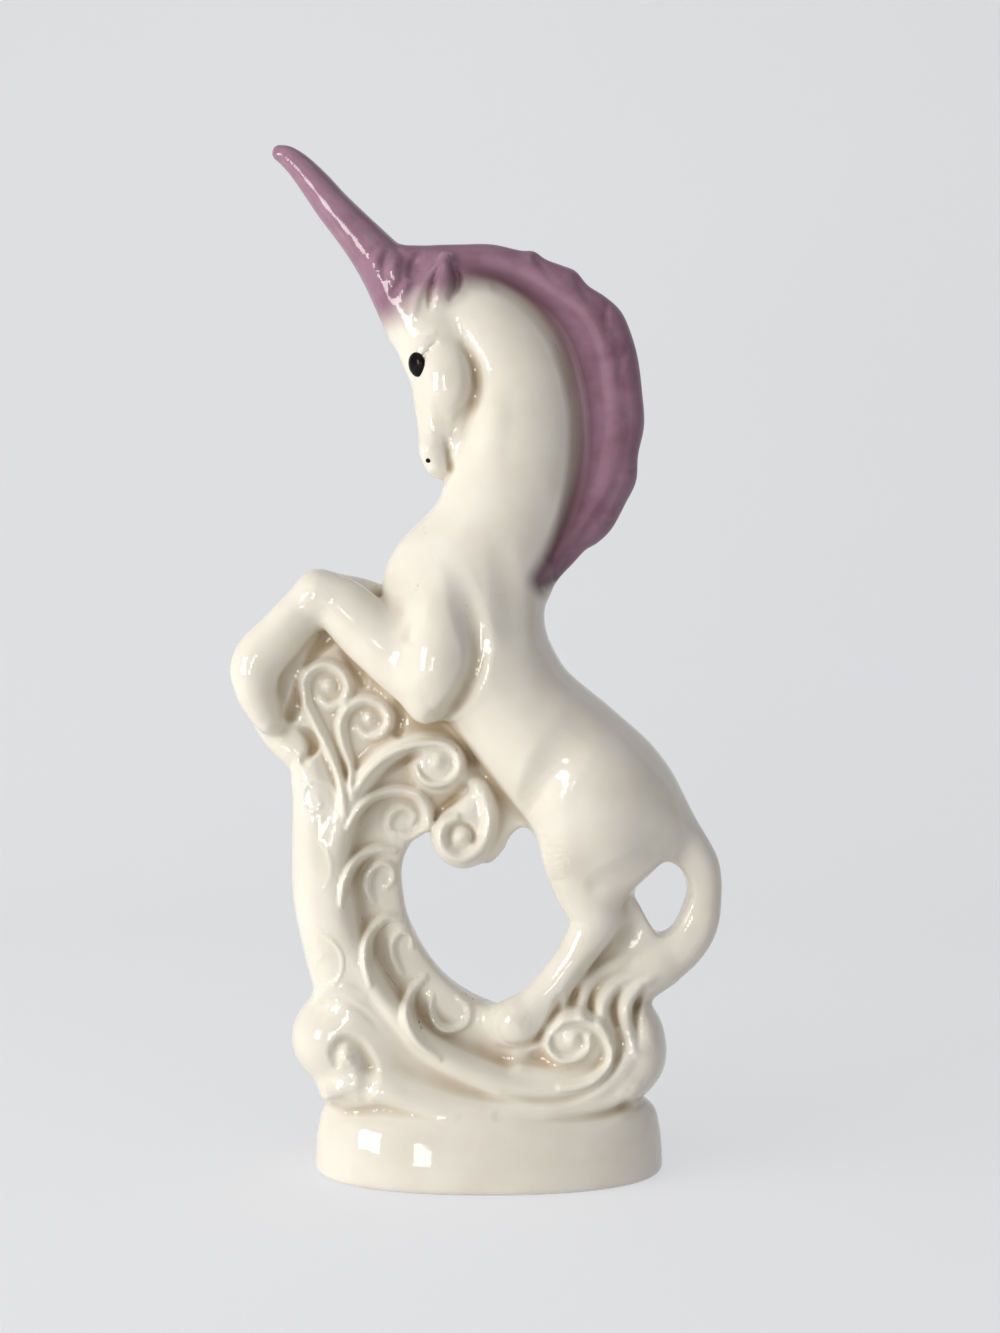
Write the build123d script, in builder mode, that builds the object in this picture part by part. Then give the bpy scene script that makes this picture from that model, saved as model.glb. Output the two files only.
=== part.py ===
"""A rearing unicorn figurine: a slip-cast, glazed earthenware ornament on an oval plinth.

The horse stands up on its hind legs behind a tall rococo scroll, and its forelegs fold
over the scroll's head. A caster would see it as sections of one casting: plinth, bed, scrolls,
trunk, limbs, neck, head, horn and mane. Each is a solid here, cut where the next one is luted on.
Frame: +X to the rump, +Y to the far side, +Z up, origin in the middle of the foot.
"""

import os
from math import cos, radians, sin

from build123d import *

# Plinth and the bed of ground on it
# The plinth stands a little behind the middle of the whole figure, which is the origin
plinth_offset = 5.82
plinth_length = 128.0
plinth_depth = 64.0
plinth_height = 26.0
plinth_wall = 6.0
plinth_roof = 7.0
foot_roll = 3.5
shoulder_roll = 3.0
bed_length = 88.0
bed_depth = 33.0
bed_height = 18.0

# Scrollwork
scroll_height = 163.0
channel_width = 28.0
channel_depth = 17.0
rail_width = 7.4
rail_depth = 31.0
band_width = 20.0
band_depth = 26.0
web_depth = 12.0
foot_volute_radius = 17.0
foot_volute_depth = 38.0
ground_volute_radius = 11.5
ground_volute_depth = 30.0
top_volute_radius = 9.6
top_volute_depth = 33.0
pendant_radius = 12.5
pendant_depth = 28.0
pendant_width = 24.0
tall_curl_radius = 7.6
short_curl_radius = 7.4
curl_depth = 17.0
curl_rib = 3.4
leaf_rib = 3.2
leaf_radius = 7.4
leaf_depth = 21.0
lobe_width = 20.0
lobe_depth = 36.0

# Trunk and hindquarters
hip_offset = 41.0
hind_leg_height = 85.0
hind_leg_width = 40.0
hind_leg_depth = 25.0
barrel_length = 84.0
barrel_width = 58.0
barrel_depth = 52.0
tail_length = 85.0
tail_width = 14.0
tail_depth = 15.0
tuft_length = 30.0
tuft_width = 20.0
tuft_depth = 20.0


# Forehand
arm_length = 40.0
arm_width = 28.0
arm_depth = 22.0
forearm_length = 46.0
forearm_width = 21.0
forearm_depth = 17.0
far_forearm_length = 52.0
cannon_length = 60.0
cannon_width = 17.0
cannon_depth = 17.0
fore_hoof_length = 17.0
fore_hoof_width = 15.0
fore_hoof_depth = 16.0
shoulder_spacing = 34.0

# Neck, head and what stands on them
neck_length = 115.0
neck_width = 50.0
neck_depth = 38.0
mane_width = 24.0
mane_depth = 18.0
head_length = 67.0
head_width = 27.0
head_depth = 25.0
horn_length = 76.6
horn_width = 22.0
horn_depth = 20.0
forelock_width = 12.0
forelock_depth = 14.0
ear_width = 9.0
ear_depth = 8.0
ear_spacing = 19.0
eye_width = 5.4
eye_height = 7.4
eye_depth = 3.0
eye_proud = 0.7
eye_spacing = 18.4
eye_turn = 38.0
nostril_width = 2.0
nostril_depth = 1.2
nostril_spacing = 10.4

# Stations along each limb, as shares of its length, width and depth: over, up, wide, deep
barrel_shares = [
    (0.242, -0.101, 0.48, 0.46),
    (0.141, -0.031, 0.79, 0.81),
    (0.022, 0.066, 0.94, 1.00),
    (-0.154, 0.220, 0.92, 1.00),
    (-0.357, 0.476, 0.89, 0.96),
    (-0.511, 0.709, 0.97, 0.96),
    (-0.590, 0.859, 1.01, 0.88),
    (-0.670, 1.013, 0.84, 0.65),
    (-0.705, 1.114, 0.51, 0.38),
]
neck_shares = [
    (0.000, 0.000, 0.92, 0.89),
    (0.045, 0.125, 1.07, 1.00),
    (0.100, 0.273, 0.98, 0.95),
    (0.138, 0.399, 0.95, 0.92),
    (0.171, 0.528, 0.90, 0.89),
    (0.180, 0.656, 0.84, 0.84),
    (0.151, 0.785, 0.77, 0.79),
    (0.080, 0.894, 0.68, 0.74),
    (-0.010, 0.965, 0.56, 0.68),
    (-0.090, 1.004, 0.44, 0.63),
]
head_shares = [
    (0.000, 0.033, 0.60, 0.72),
    (-0.017, -0.099, 0.96, 0.92),
    (0.000, -0.293, 1.04, 1.00),
    (0.028, -0.497, 0.99, 1.00),
    (0.022, -0.641, 0.85, 0.88),
    (0.011, -0.762, 0.69, 0.76),
    (0.000, -0.873, 0.58, 0.68),
    (0.000, -0.961, 0.44, 0.56),
    (0.006, -1.011, 0.22, 0.32),
]
horn_shares = [
    (0.000, 0.000, 1.01, 1.05),
    (-0.101, 0.112, 0.84, 0.92),
    (-0.228, 0.243, 0.67, 0.74),
    (-0.380, 0.400, 0.52, 0.57),
    (-0.532, 0.552, 0.37, 0.41),
    (-0.644, 0.664, 0.24, 0.26),
    (-0.689, 0.710, 0.12, 0.13),
]
mane_shares = [
    (-0.154, 1.123, 0.52, 0.78),
    (-0.035, 1.126, 0.59, 0.83),
    (0.109, 1.113, 0.68, 0.89),
    (0.238, 1.055, 0.77, 0.94),
    (0.351, 0.946, 0.86, 0.94),
    (0.425, 0.804, 0.92, 0.94),
    (0.457, 0.656, 0.99, 0.94),
    (0.450, 0.505, 0.96, 0.94),
    (0.412, 0.351, 0.86, 0.89),
    (0.344, 0.216, 0.68, 0.78),
    (0.270, 0.109, 0.37, 0.56),
]
forelock_shares = [
    (0.033, 0.166, 0.74, 0.71),
    (-0.077, 0.160, 0.92, 1.00),
    (-0.188, 0.088, 0.80, 1.07),
    (-0.243, -0.022, 0.62, 0.86),
    (-0.260, -0.133, 0.31, 0.50),
]
ear_shares = [
    (-0.017, -0.144, 0.74, 0.75),
    (-0.017, -0.055, 0.99, 1.00),
    (0.000, 0.044, 0.95, 1.00),
    (0.022, 0.133, 0.66, 0.75),
    (0.039, 0.182, 0.25, 0.35),
]
near_hind_shares = [
    (0.014, 0.076, 0.89, 0.72),
    (0.001, -0.090, 1.05, 0.98),
    (-0.017, -0.220, 0.85, 1.00),
    (-0.034, -0.347, 0.61, 0.92),
    (-0.043, -0.469, 0.48, 0.81),
    (-0.112, -0.599, 0.44, 0.73),
    (-0.204, -0.730, 0.46, 0.67),
    (-0.308, -0.856, 0.46, 0.66),
    (-0.374, -0.952, 0.46, 0.68),
    (-0.413, -1.013, 0.46, 0.72),
]
far_hind_shares = [
    (0.049, 0.076, 0.89, 0.72),
    (0.057, -0.090, 1.02, 0.98),
    (0.057, -0.220, 0.83, 1.00),
    (0.049, -0.347, 0.63, 0.92),
    (0.031, -0.469, 0.52, 0.81),
    (-0.025, -0.599, 0.46, 0.73),
    (-0.117, -0.730, 0.46, 0.67),
    (-0.221, -0.856, 0.46, 0.66),
    (-0.295, -0.952, 0.46, 0.68),
    (-0.334, -1.013, 0.46, 0.72),
]
tail_shares = [
    (-0.017, 0.030, 1.06, 1.00),
    (0.078, -0.065, 1.11, 1.07),
    (0.135, -0.174, 0.95, 0.93),
    (0.144, -0.305, 0.87, 0.88),
    (0.113, -0.448, 0.95, 0.93),
    (0.035, -0.566, 1.11, 1.07),
    (-0.087, -0.653, 1.27, 1.20),
]
tuft_shares = [
    (0.049, 0.037, 0.81, 0.85),
    (-0.247, -0.148, 0.96, 1.00),
    (-0.469, -0.395, 1.04, 1.05),
    (-0.567, -0.691, 0.89, 1.00),
]
far_arm_shares = [
    (0.090, 0.360, 0.55, 0.50),
    (0.030, 0.080, 0.85, 0.82),
    (-0.030, -0.220, 0.88, 0.95),
    (-0.120, -0.480, 0.60, 0.75),
]
arm_shares = [
    (0.028, 0.139, 0.58, 0.55),
    (0.000, -0.139, 0.90, 0.86),
    (-0.019, -0.463, 0.98, 1.00),
    (-0.074, -0.759, 0.87, 1.00),
    (-0.203, -0.953, 0.58, 0.82),
]
near_forearm_shares = [
    (0.040, -0.040, 0.95, 1.00),
    (-0.241, 0.225, 0.99, 1.00),
    (-0.507, 0.467, 0.88, 0.96),
    (-0.716, 0.660, 0.86, 0.95),
    (-0.850, 0.775, 0.66, 0.85),
]
far_forearm_shares = [
    (0.000, -0.014, 0.92, 1.00),
    (-0.213, -0.085, 1.02, 1.06),
    (-0.463, -0.050, 0.99, 1.00),
    (-0.747, 0.071, 0.88, 0.96),
    (-0.946, 0.128, 0.74, 0.89),
]
near_cannon_shares = [
    (0.080, -0.020, 0.70, 0.80),
    (-0.060, -0.060, 0.95, 0.98),
    (-0.210, -0.204, 0.96, 0.93),
    (-0.419, -0.413, 0.91, 0.95),
    (-0.456, -0.536, 0.87, 0.90),
    (-0.376, -0.716, 0.76, 0.84),
]
far_cannon_shares = [
    (0.080, -0.020, 0.70, 0.80),
    (-0.070, -0.050, 0.92, 0.98),
    (-0.228, -0.179, 0.91, 0.93),
    (-0.432, -0.376, 0.91, 0.95),
    (-0.450, -0.555, 0.87, 0.90),
    (-0.384, -0.740, 0.76, 0.84),
]

# Where one section springs from the one before it, as shares of that one's length
withers_share = (-0.590, 0.859)
shoulder_share = (-0.652, 0.947)
far_shoulder_share = (-0.639, 0.903)
elbow_share = (-0.250, -0.833)
near_knee_share = (-0.764, 0.684)
far_knee_share = (-0.975, 0.114)
poll_share = (-0.084, 1.030)
brow_share = (-0.193, 0.050)
eye_share = (-0.150, -0.400)
nostril_share = (-0.090, -0.920)
dock_share = (0.317, -0.031)
tail_end_share = (-0.087, -0.653)

# The scrollwork, as shares of its height above the plinth: over, up, and then wide, deep
channel_shares = [
    (-0.165, 0.727, 0.80, 0.85),
    (-0.198, 0.685, 1.02, 1.00),
    (-0.240, 0.621, 0.98, 1.00),
    (-0.258, 0.540, 0.84, 1.00),
    (-0.245, 0.426, 0.79, 1.00),
    (-0.211, 0.335, 0.79, 1.03),
    (-0.161, 0.250, 0.82, 1.10),
    (-0.090, 0.178, 0.88, 1.15),
    (-0.009, 0.138, 0.96, 1.20),
    (0.082, 0.119, 1.00, 1.22),
    (0.173, 0.114, 0.93, 1.22),
    (0.292, 0.130, 0.60, 1.15),
]
rail_shares = [
    (-0.091, 0.798, 0.74, 0.84),
    (-0.157, 0.805, 0.86, 0.90),
    (-0.225, 0.769, 0.92, 0.97),
    (-0.279, 0.705, 0.92, 1.00),
    (-0.309, 0.630, 0.92, 1.00),
    (-0.320, 0.544, 0.92, 1.00),
    (-0.304, 0.426, 0.92, 1.00),
    (-0.263, 0.313, 0.92, 1.03),
    (-0.207, 0.213, 0.99, 1.10),
    (-0.129, 0.127, 1.05, 1.19),
    (-0.032, 0.067, 1.11, 1.29),
    (0.079, 0.040, 1.11, 1.35),
    (0.193, 0.036, 1.11, 1.35),
    (0.284, 0.058, 1.05, 1.26),
    (0.329, 0.108, 0.86, 1.03),
]
band_shares = [
    (-0.400, 0.790, 0.62, 0.95),
    (-0.388, 0.735, 0.90, 1.00),
    (-0.384, 0.671, 1.00, 1.00),
    (-0.388, 0.580, 0.97, 1.00),
    (-0.388, 0.490, 0.95, 1.00),
    (-0.370, 0.399, 0.95, 1.05),
    (-0.343, 0.319, 1.00, 1.10),
    (-0.320, 0.215, 1.12, 1.20),
]
lobe_shares = [
    (0.330, 0.000, 0.80, 0.88),
    (0.347, 0.045, 1.02, 1.00),
    (0.356, 0.110, 1.08, 1.00),
    (0.352, 0.175, 0.95, 0.85),
    (0.340, 0.215, 0.55, 0.55),
]
pendant_shares = [
    (-0.030, 0.740, 0.70, 0.75),
    (-0.020, 0.670, 1.00, 0.80),
    (-0.048, 0.605, 0.92, 0.78),
]
web_shares = [
    (-0.430, 0.780),
    (-0.480, 0.850),
    (-0.500, 0.930),
    (-0.470, 1.000),
    (-0.400, 1.060),
    (-0.330, 1.050),
    (-0.250, 0.960),
    (-0.150, 0.890),
    (-0.080, 0.830),
    (-0.100, 0.770),
    (-0.240, 0.700),
    (-0.320, 0.630),
    (-0.370, 0.700),
]
foot_volute_share = (-0.327, 0.125)
ground_volute_share = (0.200, 0.127)
top_volute_share = (-0.116, 0.757)
pendant_share = (-0.059, 0.584)
tall_curl_share = (-0.370, 0.930)
short_curl_share = (-0.270, 0.855)
leaf_shares = [
    (-0.195, 0.635, 1.00),
    (-0.258, 0.510, 0.72),
    (-0.230, 0.345, 0.72),
    (-0.116, 0.215, 0.90),
]
leaf_turn_share = 0.8
tall_stem_shares = [
    (-0.320, 0.735),
    (-0.341, 0.778),
    (-0.363, 0.821),
    (-0.388, 0.862),
    (-0.409, 0.898),
]
short_stem_shares = [(-0.304, 0.758), (-0.311, 0.794), (-0.315, 0.826)]

# A limb's section against the middle plane: across, and out to its side
half_oval_shares = [
    (-0.44, 0.00),
    (-0.50, 0.32),
    (-0.38, 0.78),
    (0.00, 1.00),
    (0.38, 0.78),
    (0.50, 0.32),
    (0.44, 0.00),
]

# A hoof, along its length and across, and the plinth's and bed's ovals up their heights
hoof_shares = [(-0.10, 0.80), (0.35, 0.98), (0.80, 1.10), (1.00, 1.02)]
plinth_shares = [(0.00, 1.00), (0.55, 0.98), (1.00, 0.92)]
cavity_taper_share = 0.90
bed_shares = [(0.00, 1.00), (0.55, 0.93), (1.00, 0.70)]

oval_points = 8
spiral_steps = 14
volute_sweep = 560.0
curl_sweep = 450.0
volute_rib_share = 0.42
volute_roll_share = 0.4
inner_turn_share = 0.30
rib_taper_share = 0.55
disc_share = 0.80
half = 0.5
near = -1
far = 1


def place(root, length, share):
    """The point of the middle plane that lies at a share of a length from a root."""
    return root + Vector(share[0] * length, 0, share[1] * length)


def square_planes(spots):
    """Planes square to a path through the spots, with their x axis across the figure."""
    last = len(spots) - 1
    runs = [spots[min(i + 1, last)] - spots[max(i - 1, 0)] for i in range(last + 1)]
    return [Plane(origin=spot, x_dir=(0, 1, 0), z_dir=run) for spot, run in zip(spots, runs)]


def level_planes(spots):
    """Level planes through the spots, with their x axis across the figure."""
    return [Plane(origin=spot, x_dir=(0, 1, 0), z_dir=(0, 0, 1)) for spot in spots]


def oval(plane, wide, deep):
    """An oval section: wide in the figure's own plane, deep across it."""
    turns = [radians(360 * i / oval_points) for i in range(oval_points)]
    with BuildSketch(plane) as section:
        with BuildLine():
            Spline(
                *[(deep * half * cos(a), wide * half * sin(a)) for a in turns],
                periodic=True,
            )
        make_face()
    return section.sketch.face()


def half_oval(plane, wide, deep):
    """A section with one flat face in the middle plane, and its bulge out to one side."""
    bulge = [(deep * out, wide * across) for across, out in half_oval_shares]
    with BuildSketch(plane) as section:
        with BuildLine():
            Spline(*bulge)
            Line(bulge[-1], bulge[0])
        make_face()
    return section.sketch.face()


def stations(root, length, width, depth, shares, side=0.0, section=oval, planes=square_planes):
    """The sections along a limb that keeps to one side of the middle plane."""
    spots = [place(root, length, share) + Vector(0, side, 0) for share in shares]
    return [
        section(plane, width * share[2], depth * share[3])
        for plane, share in zip(planes(spots), shares)
    ]


def hoof(knee, shares, side):
    """The sections of a forehoof, which carries on from the last two stations of its cannon."""
    before, coronet = [place(knee, cannon_length, share) for share in shares[-2:]]
    heading = (coronet - before).normalized()
    return [
        half_oval(
            Plane(
                origin=coronet + heading * (fore_hoof_length * along),
                x_dir=(0, 1, 0),
                z_dir=heading,
            ),
            fore_hoof_width * size,
            fore_hoof_depth * size * side,
        )
        for along, size in hoof_shares
    ]


def spiral(centre, radius, start, sweep):
    """Points that wind in from a radius by a steady ratio, through sweep degrees."""
    spots = []
    for step in range(spiral_steps + 1):
        share = step / spiral_steps
        turn = radians(start + sweep * share)
        reach = radius * inner_turn_share**share
        spots.append(centre + Vector(reach * cos(turn), 0, reach * sin(turn)))
    return spots


def ribbon(spots, width, depth):
    """The sections of a rib that runs through the spots and thins towards its end."""
    last = len(spots) - 1
    return [
        oval(plane, width * rib_taper_share ** (i / last), depth)
        for i, plane in enumerate(square_planes(spots))
    ]


def curl(stem_shares, centre_share, radius):
    """A fern curl: its stem runs up one side of the volute and over into it."""
    stem = [place(ground, scroll_height, share) for share in stem_shares]
    centre = place(ground, scroll_height, centre_share)
    return ribbon(stem + spiral(centre, radius, 180, -curl_sweep), curl_rib, curl_depth)


foot = Vector(plinth_offset, 0, 0)
ground = foot + Vector(0, 0, plinth_height)
hip = ground + Vector(hip_offset, 0, bed_height + hind_leg_height)
withers = place(hip, barrel_length, withers_share)
poll = place(withers, neck_length, poll_share)
brow = place(poll, head_length, brow_share)
shoulder = place(hip, barrel_length, shoulder_share)
far_shoulder = place(hip, barrel_length, far_shoulder_share)
elbow = place(shoulder, arm_length, elbow_share)
near_knee = place(elbow, forearm_length, near_knee_share)
far_knee = place(far_shoulder, far_forearm_length, far_knee_share)
dock = place(hip, hind_leg_height, dock_share)
tail_end = place(dock, tail_length, tail_end_share)

# Plinth: a hollow oval block, open below, with a rolled foot edge
with BuildPart() as plinth:
    for up, size in plinth_shares:
        with BuildSketch(Plane(origin=foot + Vector(0, 0, plinth_height * up))):
            Ellipse(plinth_length * half * size, plinth_depth * half * size)
    loft()
    fillet(plinth.edges().group_by(Axis.Z)[0], foot_roll)
    fillet(plinth.edges().group_by(Axis.Z)[-1], shoulder_roll)
    for up, size in ((0, 1), (plinth_height - plinth_roof, cavity_taper_share)):
        with BuildSketch(Plane(origin=foot + Vector(0, 0, up))):
            Ellipse(
                (plinth_length * half - plinth_wall) * size,
                (plinth_depth * half - plinth_wall) * size,
            )
    loft(mode=Mode.SUBTRACT)
plinth.part.label = "plinth"

# Top volute: the eye that the great scroll winds into under the horse's chest
with BuildPart() as top_volute:
    volute_centre = place(ground, scroll_height, top_volute_share)
    with BuildSketch(Plane(origin=volute_centre, x_dir=(1, 0, 0), z_dir=(0, -1, 0))):
        Circle(top_volute_radius)
    extrude(amount=top_volute_depth * half * disc_share, both=True)
    loft(
        sections=ribbon(
            spiral(volute_centre, top_volute_radius, 150, -volute_sweep),
            top_volute_radius * volute_rib_share,
            top_volute_depth,
        )
    )
top_volute.part.label = "top_volute"

# C scroll: the great scroll of the base, a proud rail that sweeps from its head down and round
# to the ground, and inside it a thin wall that stands back from the rail on both faces
with BuildPart() as scroll_rail:
    loft(sections=stations(ground, scroll_height, rail_width, rail_depth, rail_shares))
    add(top_volute.part, mode=Mode.SUBTRACT)
scroll_rail.part.label = "scroll_rail"

with BuildPart() as scroll_channel:
    loft(sections=stations(ground, scroll_height, channel_width, channel_depth, channel_shares))
    for neighbour in (top_volute, scroll_rail):
        add(neighbour.part, mode=Mode.SUBTRACT)
scroll_channel.part.label = "scroll_channel"

# Ground bed: the low mound between the scroll and the plinth
with BuildPart() as ground_bed:
    for up, size in bed_shares:
        with BuildSketch(Plane(origin=ground + Vector(0, 0, bed_height * up))):
            Ellipse(bed_length * half * size, bed_depth * half * size)
    loft()
    for neighbour in (scroll_channel, scroll_rail):
        add(neighbour.part, mode=Mode.SUBTRACT)
ground_bed.part.label = "ground_bed"

# Foot volute: the fat curl that the scrollwork stands on at the front
with BuildPart() as foot_volute:
    volute_centre = place(ground, scroll_height, foot_volute_share)
    with BuildSketch(Plane(origin=volute_centre, x_dir=(1, 0, 0), z_dir=(0, -1, 0))):
        Circle(foot_volute_radius)
    extrude(amount=foot_volute_depth * half * disc_share, both=True)
    fillet(foot_volute.edges().filter_by(GeomType.CIRCLE), foot_volute_radius * volute_roll_share)
    loft(
        sections=ribbon(
            spiral(volute_centre, foot_volute_radius * disc_share, 120, -volute_sweep),
            foot_volute_radius * volute_rib_share,
            foot_volute_depth,
        )
    )
    for neighbour in (plinth, scroll_rail, ground_bed):
        add(neighbour.part, mode=Mode.SUBTRACT)
foot_volute.part.label = "foot_volute"

# Outer band: the upright that backs the scroll, from the foot volute to the forehooves
with BuildPart() as outer_band:
    loft(sections=stations(ground, scroll_height, band_width, band_depth, band_shares))
    for neighbour in (scroll_rail, foot_volute):
        add(neighbour.part, mode=Mode.SUBTRACT)
outer_band.part.label = "outer_band"

# Ground volute: the last curl of the great scroll, proud of its channel beside the hind hooves
with BuildPart() as ground_volute:
    loft(
        sections=ribbon(
            spiral(
                place(ground, scroll_height, ground_volute_share),
                ground_volute_radius, 300, volute_sweep,
            ),
            ground_volute_radius * volute_rib_share,
            ground_volute_depth,
        )
    )
    for neighbour in (scroll_channel, scroll_rail):
        add(neighbour.part, mode=Mode.SUBTRACT)
ground_volute.part.label = "ground_volute"

# Leaf curls: a run of relief curls down the channel of the great scroll
with BuildPart() as leaf_curls:
    for over, up, size in leaf_shares:
        centre = place(ground, scroll_height, (over, up))
        spots = spiral(centre, leaf_radius * size, 200, -curl_sweep * leaf_turn_share)
        loft(sections=ribbon(spots, leaf_rib, leaf_depth))
    for neighbour in (scroll_channel, scroll_rail):
        add(neighbour.part, mode=Mode.SUBTRACT)
leaf_curls.part.label = "leaf_curls"

# Rear lobe: the rocaille lobe under the tail, standing on the plinth's end
with BuildPart() as rear_lobe:
    loft(
        sections=stations(
            ground, scroll_height, lobe_width, lobe_depth, lobe_shares, planes=level_planes
        )
    )
    for neighbour in (scroll_channel, scroll_rail):
        add(neighbour.part, mode=Mode.SUBTRACT)
rear_lobe.part.label = "rear_lobe"

# Barrel: chest, belly and rump, the body that every limb is luted to
with BuildPart() as barrel:
    loft(sections=stations(hip, barrel_length, barrel_width, barrel_depth, barrel_shares))
    for neighbour in (scroll_channel, scroll_rail, top_volute):
        add(neighbour.part, mode=Mode.SUBTRACT)
barrel.part.label = "barrel"

# Pendant: the volute that hangs below the great scroll's head and joins it to the belly
with BuildPart() as pendant:
    volute_centre = place(ground, scroll_height, pendant_share)
    with BuildSketch(Plane(origin=volute_centre, x_dir=(1, 0, 0), z_dir=(0, -1, 0))):
        Circle(pendant_radius)
    extrude(amount=pendant_depth * half * disc_share, both=True)
    loft(
        sections=ribbon(
            spiral(volute_centre, pendant_radius * disc_share, 60, volute_sweep),
            pendant_radius * volute_rib_share,
            pendant_depth,
        )
    )
    loft(sections=stations(ground, scroll_height, pendant_width, pendant_depth, pendant_shares))
    for neighbour in (scroll_channel, scroll_rail, top_volute, barrel):
        add(neighbour.part, mode=Mode.SUBTRACT)
pendant.part.label = "pendant"

with BuildPart() as neck:
    loft(sections=stations(withers, neck_length, neck_width, neck_depth, neck_shares))
    add(barrel.part, mode=Mode.SUBTRACT)
neck.part.label = "neck"

# Eyes: low oval beads, turned out to the slope of the cheek
eye_heading = Vector(-sin(radians(eye_turn)), -cos(radians(eye_turn)), 0)
eye_centre = place(poll, head_length, eye_share) + Vector(0, near * eye_spacing * half, 0)
with BuildPart() as eye_near:
    eye_front = eye_centre + eye_heading * eye_proud
    with BuildSketch(Plane(origin=eye_front, x_dir=(0, 0, 1), z_dir=eye_heading)):
        Ellipse(eye_height * half, eye_width * half)
    extrude(amount=-eye_depth)
    fillet(eye_near.edges().group_by(Axis(eye_centre, eye_heading))[-1], eye_proud)
eye_near.part.label = "eye_near"

with BuildPart() as eye_far:
    mirror(eye_near.part, about=Plane.XZ)
eye_far.part.label = "eye_far"

# Head, with a socket for each eye and a shallow nostril on each side
with BuildPart() as head:
    loft(sections=stations(poll, head_length, head_width, head_depth, head_shares))
    for neighbour in (neck, eye_near, eye_far):
        add(neighbour.part, mode=Mode.SUBTRACT)
    for side in (near, far):
        nostril = place(poll, head_length, nostril_share) + Vector(0, side * nostril_spacing * half, 0)
        with Locations(Plane(origin=nostril, z_dir=(eye_heading.X, -side * eye_heading.Y, 0))):
            Hole(nostril_width * half, nostril_depth)
head.part.label = "head"

with BuildPart() as horn:
    loft(sections=stations(brow, horn_length, horn_width, horn_depth, horn_shares))
    for neighbour in (head, neck):
        add(neighbour.part, mode=Mode.SUBTRACT)
horn.part.label = "horn"

# Mane: a crest from behind the ears to the withers
with BuildPart() as mane:
    loft(sections=stations(withers, neck_length, mane_width, mane_depth, mane_shares))
    for neighbour in (neck, barrel, head, horn):
        add(neighbour.part, mode=Mode.SUBTRACT)
mane.part.label = "mane"

with BuildPart() as ear_near:
    loft(
        sections=stations(
            poll, head_length, ear_width, ear_depth, ear_shares, near * ear_spacing * half
        )
    )
    for neighbour in (head, neck, mane, horn):
        add(neighbour.part, mode=Mode.SUBTRACT)
ear_near.part.label = "ear_near"

with BuildPart() as ear_far:
    loft(
        sections=stations(
            poll, head_length, ear_width, ear_depth, ear_shares, far * ear_spacing * half
        )
    )
    for neighbour in (head, neck, mane, horn):
        add(neighbour.part, mode=Mode.SUBTRACT)
ear_far.part.label = "ear_far"

with BuildPart() as forelock:
    loft(sections=stations(poll, head_length, forelock_width, forelock_depth, forelock_shares))
    for neighbour in (head, neck, horn, mane, ear_near, ear_far):
        add(neighbour.part, mode=Mode.SUBTRACT)
forelock.part.label = "forelock"

# Hind legs: thigh, gaskin and cannon in one sweep down to the coronet, back to back
with BuildPart() as hind_leg_near:
    loft(
        sections=stations(
            hip, hind_leg_height, hind_leg_width, hind_leg_depth * near, near_hind_shares,
            section=half_oval, planes=level_planes,
        )
    )
    for neighbour in (barrel, scroll_channel, scroll_rail, ground_bed, ground_volute):
        add(neighbour.part, mode=Mode.SUBTRACT)
hind_leg_near.part.label = "hind_leg_near"

with BuildPart() as hind_leg_far:
    loft(
        sections=stations(
            hip, hind_leg_height, hind_leg_width, hind_leg_depth * far, far_hind_shares,
            section=half_oval, planes=level_planes,
        )
    )
    for neighbour in (barrel, scroll_channel, scroll_rail, ground_bed, ground_volute):
        add(neighbour.part, mode=Mode.SUBTRACT)
hind_leg_far.part.label = "hind_leg_far"

# Tail: from the dock out and down, and its tuft swept back to the hocks
with BuildPart() as tail:
    loft(sections=stations(dock, tail_length, tail_width, tail_depth, tail_shares))
    for neighbour in (barrel, hind_leg_near, hind_leg_far):
        add(neighbour.part, mode=Mode.SUBTRACT)
tail.part.label = "tail"

with BuildPart() as tail_tuft:
    loft(sections=stations(tail_end, tuft_length, tuft_width, tuft_depth, tuft_shares))
    for neighbour in (
        scroll_channel, scroll_rail, rear_lobe, tail, hind_leg_near, hind_leg_far, ground_volute,
    ):
        add(neighbour.part, mode=Mode.SUBTRACT)
tail_tuft.part.label = "tail_tuft"

# Near foreleg: upper arm, forearm, cannon and hoof
with BuildPart() as arm_near:
    loft(
        sections=stations(
            shoulder, arm_length, arm_width, arm_depth, arm_shares, near * shoulder_spacing * half
        )
    )
    for neighbour in (barrel, neck):
        add(neighbour.part, mode=Mode.SUBTRACT)
arm_near.part.label = "arm_near"

with BuildPart() as forearm_near:
    loft(
        sections=stations(
            elbow, forearm_length, forearm_width, forearm_depth * near, near_forearm_shares,
            section=half_oval,
        )
    )
    for neighbour in (arm_near, barrel, neck):
        add(neighbour.part, mode=Mode.SUBTRACT)
forearm_near.part.label = "forearm_near"

with BuildPart() as cannon_near:
    loft(
        sections=stations(
            near_knee, cannon_length, cannon_width, cannon_depth * near, near_cannon_shares,
            section=half_oval,
        )
    )
    add(forearm_near.part, mode=Mode.SUBTRACT)
cannon_near.part.label = "cannon_near"

with BuildPart() as hoof_near:
    loft(sections=hoof(near_knee, near_cannon_shares, near))
    for neighbour in (cannon_near, outer_band):
        add(neighbour.part, mode=Mode.SUBTRACT)
hoof_near.part.label = "hoof_near"

# Far foreleg, reaching a little higher and further forward
with BuildPart() as arm_far:
    loft(
        sections=stations(
            far_shoulder, arm_length, arm_width, arm_depth, far_arm_shares,
            far * shoulder_spacing * half,
        )
    )
    for neighbour in (barrel, neck):
        add(neighbour.part, mode=Mode.SUBTRACT)
arm_far.part.label = "arm_far"

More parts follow.
